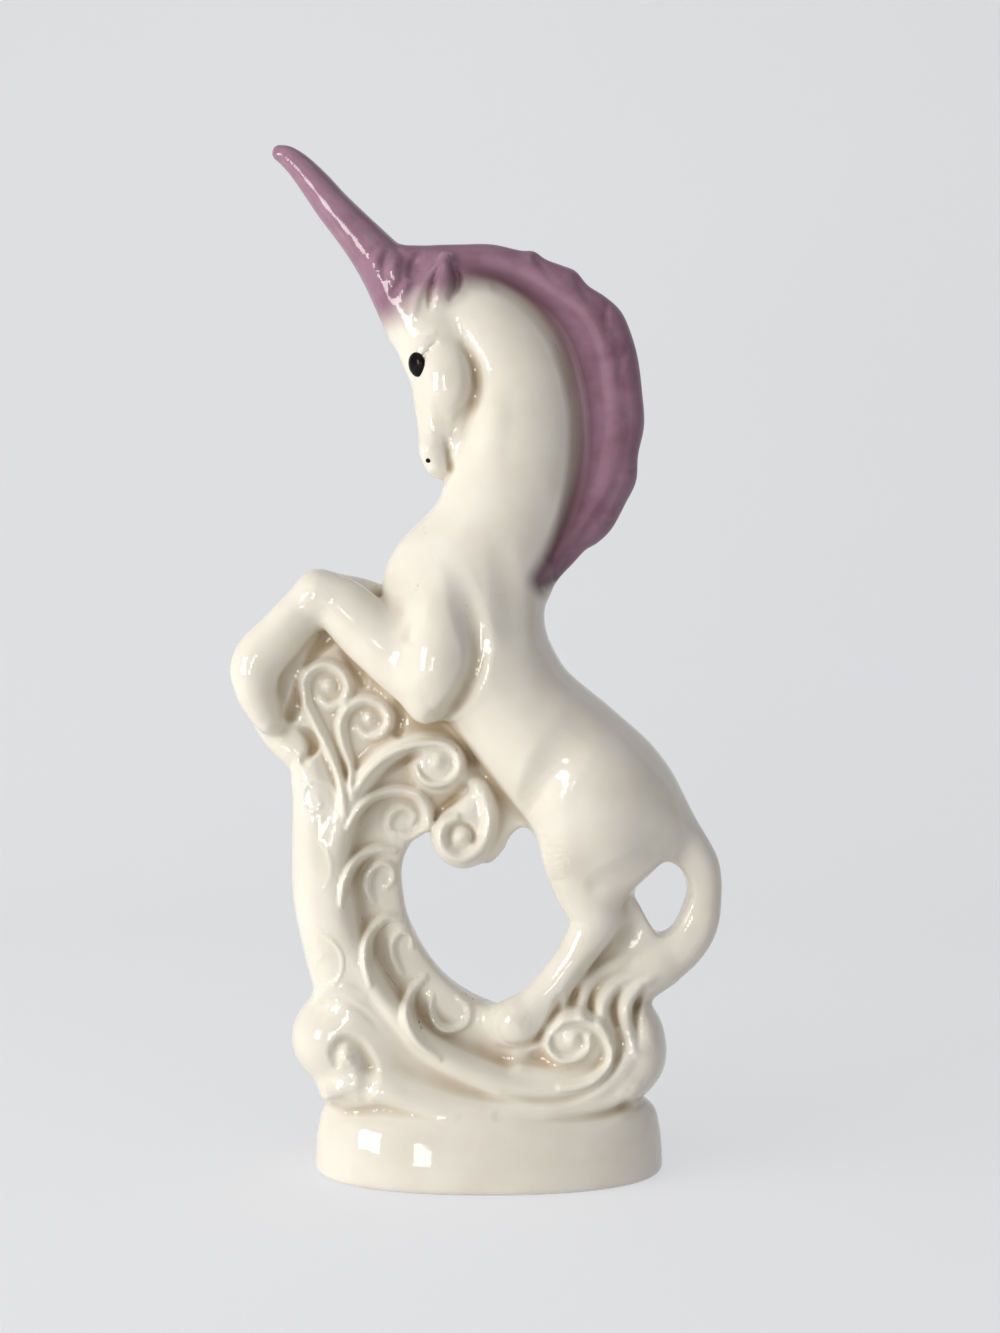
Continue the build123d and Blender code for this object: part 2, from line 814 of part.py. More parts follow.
with BuildPart() as forearm_far:
    loft(
        sections=stations(
            far_shoulder, far_forearm_length, forearm_width, forearm_depth * far,
            far_forearm_shares, section=half_oval,
        )
    )
    for neighbour in (arm_far, barrel, neck):
        add(neighbour.part, mode=Mode.SUBTRACT)
forearm_far.part.label = "forearm_far"

with BuildPart() as cannon_far:
    loft(
        sections=stations(
            far_knee, cannon_length, cannon_width, cannon_depth * far, far_cannon_shares,
            section=half_oval,
        )
    )
    add(forearm_far.part, mode=Mode.SUBTRACT)
cannon_far.part.label = "cannon_far"

with BuildPart() as hoof_far:
    loft(sections=hoof(far_knee, far_cannon_shares, far))
    for neighbour in (cannon_far, outer_band):
        add(neighbour.part, mode=Mode.SUBTRACT)
hoof_far.part.label = "hoof_far"

# Fern panel: the thin wall between the forelegs, the chest and the scrollwork
with BuildPart() as fern_panel:
    with BuildSketch(Plane.XZ):
        with BuildLine():
            spots = [place(ground, scroll_height, share) for share in web_shares]
            Spline(*[(spot.X, spot.Z) for spot in spots], periodic=True)
        make_face()
    extrude(amount=web_depth * half, both=True)
    for neighbour in (
        outer_band, scroll_channel, scroll_rail, top_volute, barrel, arm_near, forearm_near,
        cannon_near, hoof_near, forearm_far, cannon_far, hoof_far,
    ):
        add(neighbour.part, mode=Mode.SUBTRACT)
fern_panel.part.label = "fern_panel"

with BuildPart() as tall_curl:
    loft(sections=curl(tall_stem_shares, tall_curl_share, tall_curl_radius))
    for neighbour in (fern_panel, outer_band):
        add(neighbour.part, mode=Mode.SUBTRACT)
tall_curl.part.label = "tall_curl"

with BuildPart() as short_curl:
    loft(sections=curl(short_stem_shares, short_curl_share, short_curl_radius))
    for neighbour in (fern_panel, outer_band):
        add(neighbour.part, mode=Mode.SUBTRACT)
short_curl.part.label = "short_curl"

sub_parts = (
    plinth, scroll_rail, scroll_channel, ground_bed, foot_volute, outer_band, ground_volute,
    leaf_curls, rear_lobe, top_volute, pendant, fern_panel, tall_curl, short_curl, barrel, neck,
    head, eye_near, eye_far, horn, mane, ear_near, ear_far, forelock, hind_leg_near, hind_leg_far, tail, tail_tuft,
    arm_near, forearm_near, cannon_near, hoof_near, arm_far, forearm_far, cannon_far, hoof_far,
)
os.makedirs("parts", exist_ok=True)
for sub_part in sub_parts:
    export_step(sub_part.part, f"parts/{sub_part.part.label}.step")
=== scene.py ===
import math

import bpy
import numpy as np
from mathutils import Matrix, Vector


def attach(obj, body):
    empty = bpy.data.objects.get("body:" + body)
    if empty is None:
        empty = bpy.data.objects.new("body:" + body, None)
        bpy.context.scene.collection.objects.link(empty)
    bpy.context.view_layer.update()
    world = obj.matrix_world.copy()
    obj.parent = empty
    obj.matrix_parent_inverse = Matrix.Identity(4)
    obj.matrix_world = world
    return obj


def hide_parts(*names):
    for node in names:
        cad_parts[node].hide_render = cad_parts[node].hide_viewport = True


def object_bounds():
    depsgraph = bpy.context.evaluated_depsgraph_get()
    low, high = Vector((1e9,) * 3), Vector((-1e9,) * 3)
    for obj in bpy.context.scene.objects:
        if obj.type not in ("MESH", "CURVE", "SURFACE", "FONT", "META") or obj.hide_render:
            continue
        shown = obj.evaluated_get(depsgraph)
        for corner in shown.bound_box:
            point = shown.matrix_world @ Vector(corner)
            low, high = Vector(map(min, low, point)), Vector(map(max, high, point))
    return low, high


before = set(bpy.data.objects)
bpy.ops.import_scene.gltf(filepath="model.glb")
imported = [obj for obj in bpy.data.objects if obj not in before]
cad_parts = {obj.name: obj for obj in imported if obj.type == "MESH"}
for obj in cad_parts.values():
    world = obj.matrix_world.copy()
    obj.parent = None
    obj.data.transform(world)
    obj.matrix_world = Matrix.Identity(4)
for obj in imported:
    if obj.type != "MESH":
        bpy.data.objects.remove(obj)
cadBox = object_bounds()
print("frame loaded, figurine is", round((cadBox[1][2] - cadBox[0][2]) * 1000), "mm tall")

# Camera: level, a little over half a metre in front of the figurine
view = {
    "distance": 0.540,  # metres from the lens to the figurine's middle plane
    "height": 0.185,
    "sideways": 0.00989,
    "lens": 39.4,  # millimetres, on a 36 mm sensor
}
cameraData = bpy.data.cameras.new("camera")
cameraData.lens = view["lens"]
cameraData.sensor_width = 36
cameraData.clip_start = 0.01
camera = bpy.data.objects.new("camera", cameraData)
camera.location = (view["sideways"], -view["distance"], view["height"])
camera.rotation_euler = (math.radians(90), 0, 0)
bpy.context.scene.collection.objects.link(camera)
bpy.context.scene.camera = camera
bpy.context.scene.view_settings.view_transform = "Standard"

# How a row of measures becomes millimetres
# A row is (column, row, half width, half depth, out): the first three in sheet pixels, the
# others in millimetres, where out is how far the row's centre stands off the middle plane.
sheet = {
    "centreColumn": 500.0,  # the camera looks straight at this spot
    "centreRow": 666.0,
    "pixelsTall": 1022.3,  # from the foot of the plinth up to the top of the horn's solid
}
mmPerPixel = (cadBox[1][2] - cadBox[0][2]) * 1000 / sheet["pixelsTall"]
eyeX = view["sideways"] * 1000
eyeZ = view["height"] * 1000
eyeAway = view["distance"] * 1000


def toMm(columns, rows, out=0.0):
    # a spot of the sheet, carried along its line of sight to the depth out in front of the middle
    nearer = 1 - np.asarray(out, float) / eyeAway
    x = eyeX + (np.asarray(columns, float) - sheet["centreColumn"]) * mmPerPixel * nearer
    z = eyeZ + (sheet["centreRow"] - np.asarray(rows, float)) * mmPerPixel * nearer
    return x, z


# The clay: one block of cells, each with its distance to the surface and its piece
block = {
    "cell": 0.8,  # millimetres
    "left": -96.0,
    "right": 96.0,
    "deep": 37.0,  # each way from the middle plane
    "low": -3.2,
    "high": 384.0,
    "far": 30.0,  # distance that empty space starts with
    "limbSteps": 10,  # spans of a curve between two rows
    "embossSteps": 6,
    "embossFade": 4.0,  # over which a mark fades in across the figurine
    "ownFrom": 2.0,  # how far past its start a mark's skin belongs to its piece
    "ownShare": 0.3,  # and how much of its height it needs for that
    "softenEdgeShare": 0.1,
}
cell = block["cell"]
xs = np.arange(block["left"], block["right"], cell).astype(np.float32)
zs = np.arange(block["low"], block["high"], cell).astype(np.float32)
ys = (np.arange(-block["deep"], block["deep"] + cell, cell) + 0.013).astype(np.float32)
clay = np.full((len(xs), len(zs), len(ys)), block["far"], np.float32)
nearest = np.full(clay.shape, block["far"], np.float32)
owner = np.zeros(clay.shape, np.int8)
pieceNames = [
    "air", "plinth", "scrollRail", "scrollChannel", "outerBand", "footVolute", "groundBed",
    "rearLobe", "groundVolute", "leafCurls", "topVolute", "pendant", "fernPanel", "body",
    "foreLegs", "neck", "head", "tail", "mane", "horn", "ears",
]
numberOf = {name: number for number, name in enumerate(pieceNames)}


def smoothLine(rows, steps, closed=False):
    # Catmull-Rom curve through the rows: each span is the cubic that leaves each row along the
    # line between its two neighbours
    rows = np.asarray(rows, float)
    if closed:
        padded = np.concatenate([rows[-1:], rows, rows[:2]])
    else:
        padded = np.concatenate([2 * rows[:1] - rows[1:2], rows, 2 * rows[-1:] - rows[-2:-1]])
    a, b, c, d = (padded[i : len(padded) - 3 + i, None, :] for i in range(4))
    t = (np.arange(steps) / steps)[None, :, None]
    curve = 0.5 * (
        2 * b + (c - a) * t + (2 * a - 5 * b + 4 * c - d) * t**2 + (3 * b - a - 3 * c + d) * t**3
    )
    curve = curve.reshape(-1, rows.shape[1])
    return curve if closed else np.concatenate([curve, rows[-1:]])


def toPath(rows, steps, seen):
    # rows of the sheet as (x, z, half width, half depth, out) in millimetres. seen is how far in
    # front of the middle the row was seen, where that isn't its own stand-off
    rows = np.array([list(row) + [0.0] * (5 - len(row)) for row in rows], float)
    depth = rows[:, 4] if seen is None else np.full(len(rows), float(seen))
    x, z = toMm(rows[:, 0], rows[:, 1], depth)
    width = rows[:, 2] * mmPerPixel * (1 - depth / eyeAway)
    path = np.stack([x, z, width, rows[:, 3], rows[:, 4]], 1)
    return smoothLine(path, steps) if len(path) > 1 else np.concatenate([path, path + 1e-3])


def windowOf(lowX, highX, lowZ, highZ, lowY, highY):
    # the slices of the clay that cover a box
    spans = []
    for axis, low, high in ((xs, lowX, highX), (zs, lowZ, highZ), (ys, lowY, highY)):
        first = int(np.clip(np.searchsorted(axis, low) - 1, 0, len(axis) - 2))
        last = int(np.clip(np.searchsorted(axis, high) + 1, first + 2, len(axis)))
        spans.append(slice(first, last))
    return tuple(spans)


def alongPath(path, where):
    # for each (x, z) of the window: the distance to the nearest spot of the path, measured less
    # the path's half width there, and that spot's half width, half depth and stand-off
    gx, gz = np.meshgrid(xs[where[0]], zs[where[1]], indexing="ij")
    best = np.full(gx.shape, 1e9, np.float32)
    found = [np.zeros(gx.shape, np.float32) for _ in range(4)]
    for a, b in zip(path[:-1], path[1:]):
        run = b[:2] - a[:2]
        size = float(run @ run) + 1e-9
        t = np.clip(((gx - a[0]) * run[0] + (gz - a[1]) * run[1]) / size, 0, 1)
        away = np.hypot(gx - a[0] - t * run[0], gz - a[1] - t * run[1])
        width = a[2] + t * (b[2] - a[2])
        closer = away - width < best
        best = np.where(closer, away - width, best)
        depth, out = a[3] + t * (b[3] - a[3]), a[4] + t * (b[4] - a[4])
        for i, value in enumerate((away, width, depth, out)):
            found[i] = np.where(closer, value, found[i])
    return found


def merge(where, distance, blend, piece):
    # smooth union: the lower of the two distances, less a quarter of the blend where they are
    # equal, fading to nothing where they differ by the blend
    old = clay[where]
    gap = np.maximum(blend - np.abs(old - distance), 0) / blend
    closer = distance < nearest[where]
    clay[where] = np.minimum(old, distance) - gap * gap * blend / 4
    nearest[where] = np.minimum(nearest[where], distance)
    owner[where] = np.where(closer, numberOf[piece], owner[where])


def carve(where, distance, blend):
    # smooth cut: the higher of the clay's distance and the tool's, turned inside out
    old = clay[where]
    gap = np.maximum(blend - np.abs(old + distance), 0) / blend
    clay[where] = np.maximum(old, -distance) + gap * gap * blend / 4


def ovalDistance(away, width, depth, y, power):
    # distance to an oval section: how far its level, (u^power + v^power)^(1 / power), lies above 1,
    # over the slope of that level. A plain ellipse is weighted by its level as well
    u, v = np.abs(away) / width, np.abs(y) / depth
    if power == 2:
        level = np.sqrt(u * u + v * v)
        slope = np.sqrt((u / width) ** 2 + (v / depth) ** 2)
        return level * (level - 1) / np.maximum(slope, 1e-4)
    level = (u**power + v**power) ** (1 / power)
    slope = np.sqrt((u ** (power - 1) / width) ** 2 + (v ** (power - 1) / depth) ** 2)
    slope = slope / np.maximum(level, 1e-4) ** (power - 1)
    return (level - 1) / np.maximum(slope, 1e-4)


def limb(rows, piece, blend, sides="own", power=2, seen=None):
    # a rounded form along a path. sides: "own" is where the rows say, "both" is on both faces of
    # the figurine, "far" is on the far face
    path = toPath(rows, block["limbSteps"], seen)
    margin = blend + 2 * cell
    reach = path[:, 2].max() + margin
    low = (path[:, 4] - path[:, 3]).min() - margin
    high = (path[:, 4] + path[:, 3]).max() + margin
    lowY, highY = {"own": (-high, -low), "far": (low, high), "both": (-high, high)}[sides]
    where = windowOf(
        path[:, 0].min() - reach, path[:, 0].max() + reach,
        path[:, 1].min() - reach, path[:, 1].max() + reach, lowY, highY,
    )
    away, width, depth, out = (field[:, :, None] for field in alongPath(path, where))
    y = ys[where[2]][None, None, :]
    across = {"own": -y, "far": y, "both": np.abs(y)}[sides] - out
    distance = ovalDistance(away, width, depth, across, power).astype(np.float32)
    merge(where, distance, blend, piece)


def outlineDistance(outline, gx, gz):
    # signed distance to a closed outline, less than nothing inside: the nearest edge, with the
    # sign from how many edges a line to the right of the spot crosses
    best = np.full(gx.shape, 1e9, gx.dtype)
    inside = np.zeros(gx.shape, bool)
    for a, b in zip(outline, np.roll(outline, -1, 0)):
        run = b - a
        t = np.clip(((gx - a[0]) * run[0] + (gz - a[1]) * run[1]) / (float(run @ run) + 1e-9), 0, 1)
        best = np.minimum(best, np.hypot(gx - a[0] - t * run[0], gz - a[1] - t * run[1]))
        crosses = (a[1] > gz) != (b[1] > gz)
        if a[1] != b[1]:
            inside ^= crosses & (gx < a[0] + (gz - a[1]) * run[0] / run[1])
    return np.where(inside, -best, best)


def smoothOutline(outline, steps):
    # a closed outline of the sheet as (x, z) in millimetres, with a curve through its spots
    x, z = toMm([spot[0] for spot in outline], [spot[1] for spot in outline])
    return smoothLine(np.stack([x, z], 1), steps, closed=True)


def roundedMeet(first, second, rounding):
    # the form inside both distances, with a rounded edge where they meet: the higher of the two
    # inside, and outside the distance to their corner, less the rounding
    inner = np.minimum(np.maximum(first, second), 0)
    corner = np.hypot(np.maximum(first, 0), np.maximum(second, 0))
    return (inner + corner - rounding).astype(np.float32)


def slab(outline, piece, half, rounding, blend):
    # a flat form about the middle plane, inside an outline. It is cut out if it has no piece
    edge = smoothOutline(outline, block["embossSteps"])
    margin = blend + rounding + 2 * cell
    where = windowOf(
        edge[:, 0].min() - margin, edge[:, 0].max() + margin,
        edge[:, 1].min() - margin, edge[:, 1].max() + margin, -half - margin, half + margin,
    )
    across = np.abs(ys[where[2]][None, None, :]) - half + rounding
    gx, gz = np.meshgrid(xs[where[0]], zs[where[1]], indexing="ij")
    side = outlineDistance(edge, gx, gz)[:, :, None] + rounding
    distance = roundedMeet(side, across, rounding)
    if piece:
        merge(where, distance, blend, piece)
    else:
        carve(where, distance, blend)


def emboss(rows, piece=None, seen=12.0, sides="both", start=1.0):
    # raises the skin along a path, or sinks it where the height is less than nothing: a row is
    # (column, row, half width, height), and the bump is (1 - (distance / half width)^2)^2 high.
    # It fades in from start outwards, and where it is clear its skin belongs to the piece
    path = toPath(rows, block["embossSteps"], seen)
    reach = path[:, 2].max() + cell
    where = windowOf(
        path[:, 0].min() - reach, path[:, 0].max() + reach,
        path[:, 1].min() - reach, path[:, 1].max() + reach, -block["deep"], block["deep"],
    )
    away, width, height, _ = (field[:, :, None] for field in alongPath(path, where))
    y = ys[where[2]][None, None, :]
    onSide = {"both": np.abs(y), "near": -y}[sides]
    bump = np.maximum(1 - (away / width) ** 2, 0) ** 2
    lift = height * bump * np.clip((onSide - start) / block["embossFade"], 0, 1)
    clay[where] -= lift.astype(np.float32)
    if piece:
        own = (bump > block["ownShare"]) & (onSide > start + block["ownFrom"])
        owner[where] = np.where(own, numberOf[piece], owner[where])


def soften(columns, rows, deepest, radius):
    # smooths the clay between two columns and two rows of the sheet: each pass gives a cell half
    # of itself and a quarter of each neighbour along every axis, and it fades in at the sides of
    # the box
    x, z = toMm(columns, rows[::-1])
    where = windowOf(x[0], x[1], z[0], z[1], -deepest, deepest)
    old = clay[where]
    new = np.array(old)
    for _ in range(max(1, round(2 * (radius / cell) ** 2))):
        for axis in range(3):
            a = np.moveaxis(new, axis, 0)
            a[1:-1] = (a[:-2] + 2 * a[1:-1] + a[2:]) / 4
    fade = 1.0
    for axis, size in enumerate(old.shape[:2]):
        ramp = np.minimum(np.arange(size), np.arange(size)[::-1]) / (block["softenEdgeShare"] * size)
        fade = fade * np.clip(ramp, 0, 1).reshape([-1 if i == axis else 1 for i in range(3)])
    clay[where] = old + fade * (new - old)


# Plinth: an oval block with a rolled foot and a soft shoulder, hollow underneath
plinth = {
    "profile": [  # height, half length and half depth, in millimetres
        (-4, 63.8, 31.8), (1, 64.0, 31.9), (4, 64.0, 31.9), (7, 63.9, 31.6), (10, 63.7, 31.1),
        (14, 63.3, 30.1), (18, 62.6, 28.8), (22, 61.6, 27.1), (26, 60.0, 25.0), (40, 54.0, 20.0),
    ],
    "height": 26.0,
    "roundness": 2.25,
    "foot": 2.6,
    "shoulder": 6.0,
    "wall": 7.0,
    "roof": 7.0,
    "roofEdge": 4.0,  # rounding where the wall inside meets the roof
    "blend": 1.0,
    "room": (70.0, 36.0, 44.0),  # each way along, each way across, and up
    "middleColumn": 489,
}


def ovalPrism(where, inset, top, rounding):
    # a stack of rounded ovals whose lengths and depths follow the profile, less the inset, cut off
    # level at top
    x = xs[where[0]][:, None, None] - middleX
    z = zs[where[1]][None, :, None]
    y = ys[where[2]][None, None, :]
    heights, longs, deeps = np.array(plinth["profile"]).T
    half = np.interp(z, heights, longs) - inset
    deep = np.interp(z, heights, deeps) - inset
    side = ovalDistance(x, half, deep, y, plinth["roundness"])
    soft = np.where(z < top / 2, plinth["foot"], rounding)
    return roundedMeet(side + soft, np.abs(z - top / 2) - top / 2 + soft, soft)


middleX = float(toMm(plinth["middleColumn"], 0)[0])
along, across, up = plinth["room"]
plinthWindow = windowOf(middleX - along, middleX + along, block["low"], up, -across, across)
solidPlinth = ovalPrism(plinthWindow, 0, plinth["height"], plinth["shoulder"])
merge(plinthWindow, solidPlinth, plinth["blend"], "plinth")

# Great scroll: a wall that stands back, the broad rail round it and the upright behind it
scroll = {
    "wall": [
        (455, 772, 24, 6.6), (425, 783, 34, 6.2), (400, 796, 42, 6.0), (381, 824, 38, 6.0),
        (374, 862, 32, 6.0), (380, 908, 30, 6.2), (394, 948, 30, 6.8), (416, 987, 31, 7.6),
        (448, 1019, 34, 9), (486, 1039, 36, 9.5), (525, 1050, 36, 10), (565, 1053, 36, 10),
        (606, 1052, 30, 10),
    ],
    "rail": [
        (452, 742, 8, 11), (432, 738, 9.5, 12), (412, 741, 10.5, 13), (392, 751, 11.5, 14),
        (374, 766, 12, 14.8), (358, 787, 12, 15.4), (346, 814, 11.5, 15.8), (338, 847, 11.5, 16),
        (336, 880, 11.5, 16), (341, 917, 12, 16), (353, 950, 12.5, 16.2), (373, 984, 13, 16.8),
        (395, 1012, 14, 17.8), (422, 1040, 16, 19), (456, 1062, 18, 20), (492, 1077, 19, 21),
        (530, 1086, 19, 21.5), (574, 1087, 19, 21.5), (610, 1076, 17, 20), (632, 1052, 13, 17),
    ],
    "underRail": [
        (335, 1080, 16, 19), (372, 1070, 26, 20), (420, 1085, 24, 22), (480, 1094, 20, 24),
        (545, 1095, 18, 24), (606, 1088, 16, 21), (624, 1070, 14, 18),
    ],
    "softened": ((292, 742), (338, 1000)),  # the columns and rows of the whole scroll
    "outer": [
        (306, 752, 16, 9), (316, 775, 25, 12), (324, 805, 31, 14), (324, 850, 32, 14.6), (326, 890, 33, 15),
        (333, 930, 33, 15.5), (345, 965, 36, 16), (358, 1000, 38, 16.5), (376, 1034, 38, 17),
    ],
    "headDisc": [(438, 766, 33, 12.5)],
    "underVolute": [(522, 1062, 14, 16.6), (552, 1066, 15, 17.4), (584, 1066, 13, 17.2)],
    "hollowOfFoot": [
        (350, 1000), (392, 1012), (430, 1048), (480, 1085), (430, 1104), (372, 1100), (340, 1060),
    ],
    "behindPendant": [
        (462, 770), (486, 762), (512, 776), (548, 808), (548, 834), (514, 836), (505, 850), (488, 864),
        (470, 840), (460, 806),
    ],
}
limb(scroll["underRail"], "groundBed", blend=6)
limb(scroll["outer"], "outerBand", blend=5)
limb(scroll["wall"], "scrollChannel", blend=1.2, power=4)
limb(scroll["rail"], "scrollRail", blend=4, power=2.4, seen=12)
soften(*scroll["softened"], deepest=20, radius=2.6)
limb(scroll["headDisc"], "topVolute", blend=2.5, power=2.6, seen=10)
slab(scroll["behindPendant"], "pendant", half=6.5, rounding=2, blend=2)
limb(scroll["underVolute"], "groundBed", blend=5)
slab(scroll["hollowOfFoot"], "groundBed", half=14, rounding=6, blend=8)
print("plinth and great scroll laid in")

# Volutes of the foot, the ground and the head of the scroll
volutes = {
    "foot": [(337, 1038, 47, 19), (343, 1040, 46, 19)],
    "rearLobe": [(638, 1012, 16, 12), (641, 1032, 23, 15), (640, 1056, 25, 17), (628, 1078, 20, 19)],
    "pendant": [(463, 838, 34, 12.5), (476, 812, 22, 11.5), (480, 790, 13, 9)],
    "ground": [(578, 1044, 37, 16.5)],
}
limb(volutes["foot"], "footVolute", blend=5, power=2.1, seen=6)
limb(volutes["rearLobe"], "rearLobe", blend=4)
limb(volutes["pendant"], "pendant", blend=2, power=3, seen=10)
limb(volutes["ground"], "groundVolute", blend=4, power=3.5, seen=12)

# Curls, bands and hollows that stand proud of the scrollwork's skin or sink into it
embossed = {
    "scrollHead": [
        (352, 798, 4.5, 0.5), (364, 777, 5.5, 1.0), (382, 759, 6, 1.4), (404, 748, 6.5, 1.8),
        (426, 743, 7, 2.4), (444, 744, 7.5, 2.8), (457, 753, 7.5, 2.8), (460, 768, 7.5, 2.8),
        (450, 781, 7, 2.8), (434, 785, 6.5, 2.6), (421, 779, 6, 2.2), (415, 767, 5, 1.4),
    ],
    "scrollGroove": [(376, 783, 5, -0.2), (388, 771, 6, -0.7), (404, 761, 6, -0.9), (420, 755, 5, -0.6)],
    "scrollDome": [(437, 762, 10, 1.6), (438, 761, 10, 1.6)],
    "pendant": [
        (464, 776, 11, 0.8), (480, 790, 12, 2.2), (490, 812, 12.5, 3.0), (488, 837, 12, 3.4),
        (477, 853, 12, 3.4), (461, 860, 11, 3.4), (446, 853, 11, 3.2), (439, 838, 10, 3.0),
        (444, 824, 9, 2.6), (456, 818, 7, 1.8),
    ],
    "pendantKnob": [(461, 837, 10, 2.2), (464, 836, 10, 2.2)],
    "pendantGroove": [
        (450, 846, 4, -0.6), (451, 832, 4.5, -1.2), (460, 824, 4.5, -1.4), (471, 829, 4.5, -1.6),
        (474, 842, 4.5, -1.0),
    ],
    "leafTop": [
        (350, 826, 5, 0.8), (360, 808, 7, 2.2), (377, 795, 8, 3.0), (398, 790, 8.5, 3.2),
        (417, 796, 9, 3.4), (427, 811, 10, 3.4), (424, 828, 9, 3.0), (410, 838, 7.5, 2.2),
        (397, 834, 6, 1.0),
    ],
    "leafTopInner": [
        (394, 836, 5, 0.8), (388, 824, 6, 2.0), (393, 812, 6, 2.4), (405, 808, 5.5, 2.0),
        (414, 815, 5, 1.2), (411, 824, 4.5, 0.6),
    ],
    "leafSecond": [
        (343, 902, 4, 0.8), (347, 878, 7, 2.4), (359, 858, 8.5, 3.2), (377, 849, 8, 2.8),
        (394, 851, 6, 1.2),
    ],
    "leafSecondInner": [
        (372, 902, 5, 0.8), (366, 888, 6.5, 2.2), (369, 873, 6.5, 2.6), (380, 864, 6, 2.4),
        (391, 868, 5.5, 1.8), (393, 880, 5, 1.2), (386, 889, 4.5, 0.6),
    ],
    "leafThird": [
        (372, 980, 4, 0.8), (367, 954, 7, 2.4), (371, 932, 8.5, 3.2), (385, 918, 7.5, 2.6),
        (399, 920, 6, 1.0),
    ],
    "leafThirdInner": [
        (400, 972, 5, 0.8), (393, 957, 6, 2.0), (392, 943, 6, 2.4), (400, 933, 5.5, 2.0),
        (411, 936, 5, 1.4), (412, 948, 4.5, 0.6),
    ],
    "leafFourth": [
        (440, 1050, 5, 1.0), (420, 1034, 8, 2.6), (409, 1013, 9.5, 3.4), (411, 992, 8.5, 3.0),
        (424, 978, 6, 1.4),
    ],
    "leafFourthInner": [
        (432, 996, 5, 0.8), (431, 1011, 6, 2.0), (440, 1024, 6.5, 2.4), (454, 1028, 6.5, 2.2),
        (467, 1021, 6, 1.6), (469, 1007, 5.5, 1.0), (459, 998, 5, 0.6),
    ],
    "groundRibbon": [
        (560, 1082, 6, 0.8), (588, 1078, 8, 1.8), (607, 1064, 9, 2.8), (611, 1046, 9.5, 3.2),
        (602, 1027, 9.5, 3.4), (583, 1016, 9.5, 3.4), (562, 1019, 9, 3.4), (548, 1032, 8, 3.2),
        (548, 1047, 7.5, 3.0), (560, 1057, 7, 2.8), (576, 1056, 6.5, 2.6), (588, 1047, 6, 2.4),
        (589, 1036, 5.5, 1.6),
    ],
    "groundInner": [(572, 1038, 9, 1.8), (574, 1037, 9, 1.8)],
    "footBand": [
        (312, 1010, 4, -0.2), (326, 1001, 5, -0.5), (344, 1000, 5, -0.6), (362, 1010, 5, -0.5),
        (376, 1022, 4, -0.2),
    ],
    "footHollow": [
        (337, 1062, 6, -0.8), (336, 1047, 8, -1.9), (347, 1038, 9, -2.3), (360, 1045, 11, -2.2),
        (367, 1060, 13, -1.9), (370, 1076, 13, -1.4), (366, 1092, 11, -0.5),
    ],
    "footKnob": [(347, 1054, 5, 1.2), (352, 1058, 6, 1.0)],
    "footRidge": [
        (300, 1020, 6, 0.2), (310, 1004, 7, 0.4), (324, 990, 7, 0.5), (344, 986, 7, 0.5),
        (364, 994, 7, 0.3),
    ],
    "bandOne": [
        (336, 822, 3, 0.2), (337, 800, 3.2, 0.45), (329, 785, 3.4, 0.5), (314, 780, 3.4, 0.5),
        (303, 789, 3.4, 0.5), (302, 804, 3.4, 0.45), (311, 812, 3.2, 0.4), (320, 805, 3, 0.3),
        (316, 796, 3, 0.2),
    ],
    "bandTwo": [
        (316, 836, 3, 0.1), (328, 852, 3.4, 0.2), (331, 872, 3.6, 0.2), (324, 889, 3.6, 0.14),
        (311, 893, 3.4, 0.1), (302, 884, 3.2, 0.1),
    ],
    "bandThree": [
        (318, 930, 3, 0.2), (330, 938, 3.2, 0.4), (341, 952, 3.2, 0.45), (342, 970, 3.2, 0.45),
        (333, 984, 3.2, 0.4), (319, 980, 3.2, 0.4), (314, 966, 3, 0.3), (322, 956, 3, 0.2),
    ],
    "plinthCrest": [
        (322, 1118, 8, 0.2), (352, 1102, 12, 0.9), (382, 1092, 13, 1.2), (414, 1098, 12, 0.9),
        (454, 1108, 10, 0.3),
    ],
    "plinthGroove": [
        (500, 1108, 10, -0.4), (550, 1113, 13, -1.2), (600, 1111, 13, -1.3), (640, 1098, 10, -0.6),
    ],
    "bedGroove": [
        (505, 1087, 6, -0.3), (535, 1093, 7, -1.1), (566, 1093, 7.5, -1.4), (592, 1084, 7.5, -1.4),
        (611, 1068, 7.5, -1.3), (620, 1048, 7, -0.9), (620, 1030, 6, -0.3),
    ],
}
for name, rows in embossed.items():
    if name.startswith("leaf"):
        emboss(rows, "leafCurls", seen=9)
    else:
        emboss(rows, seen=15)

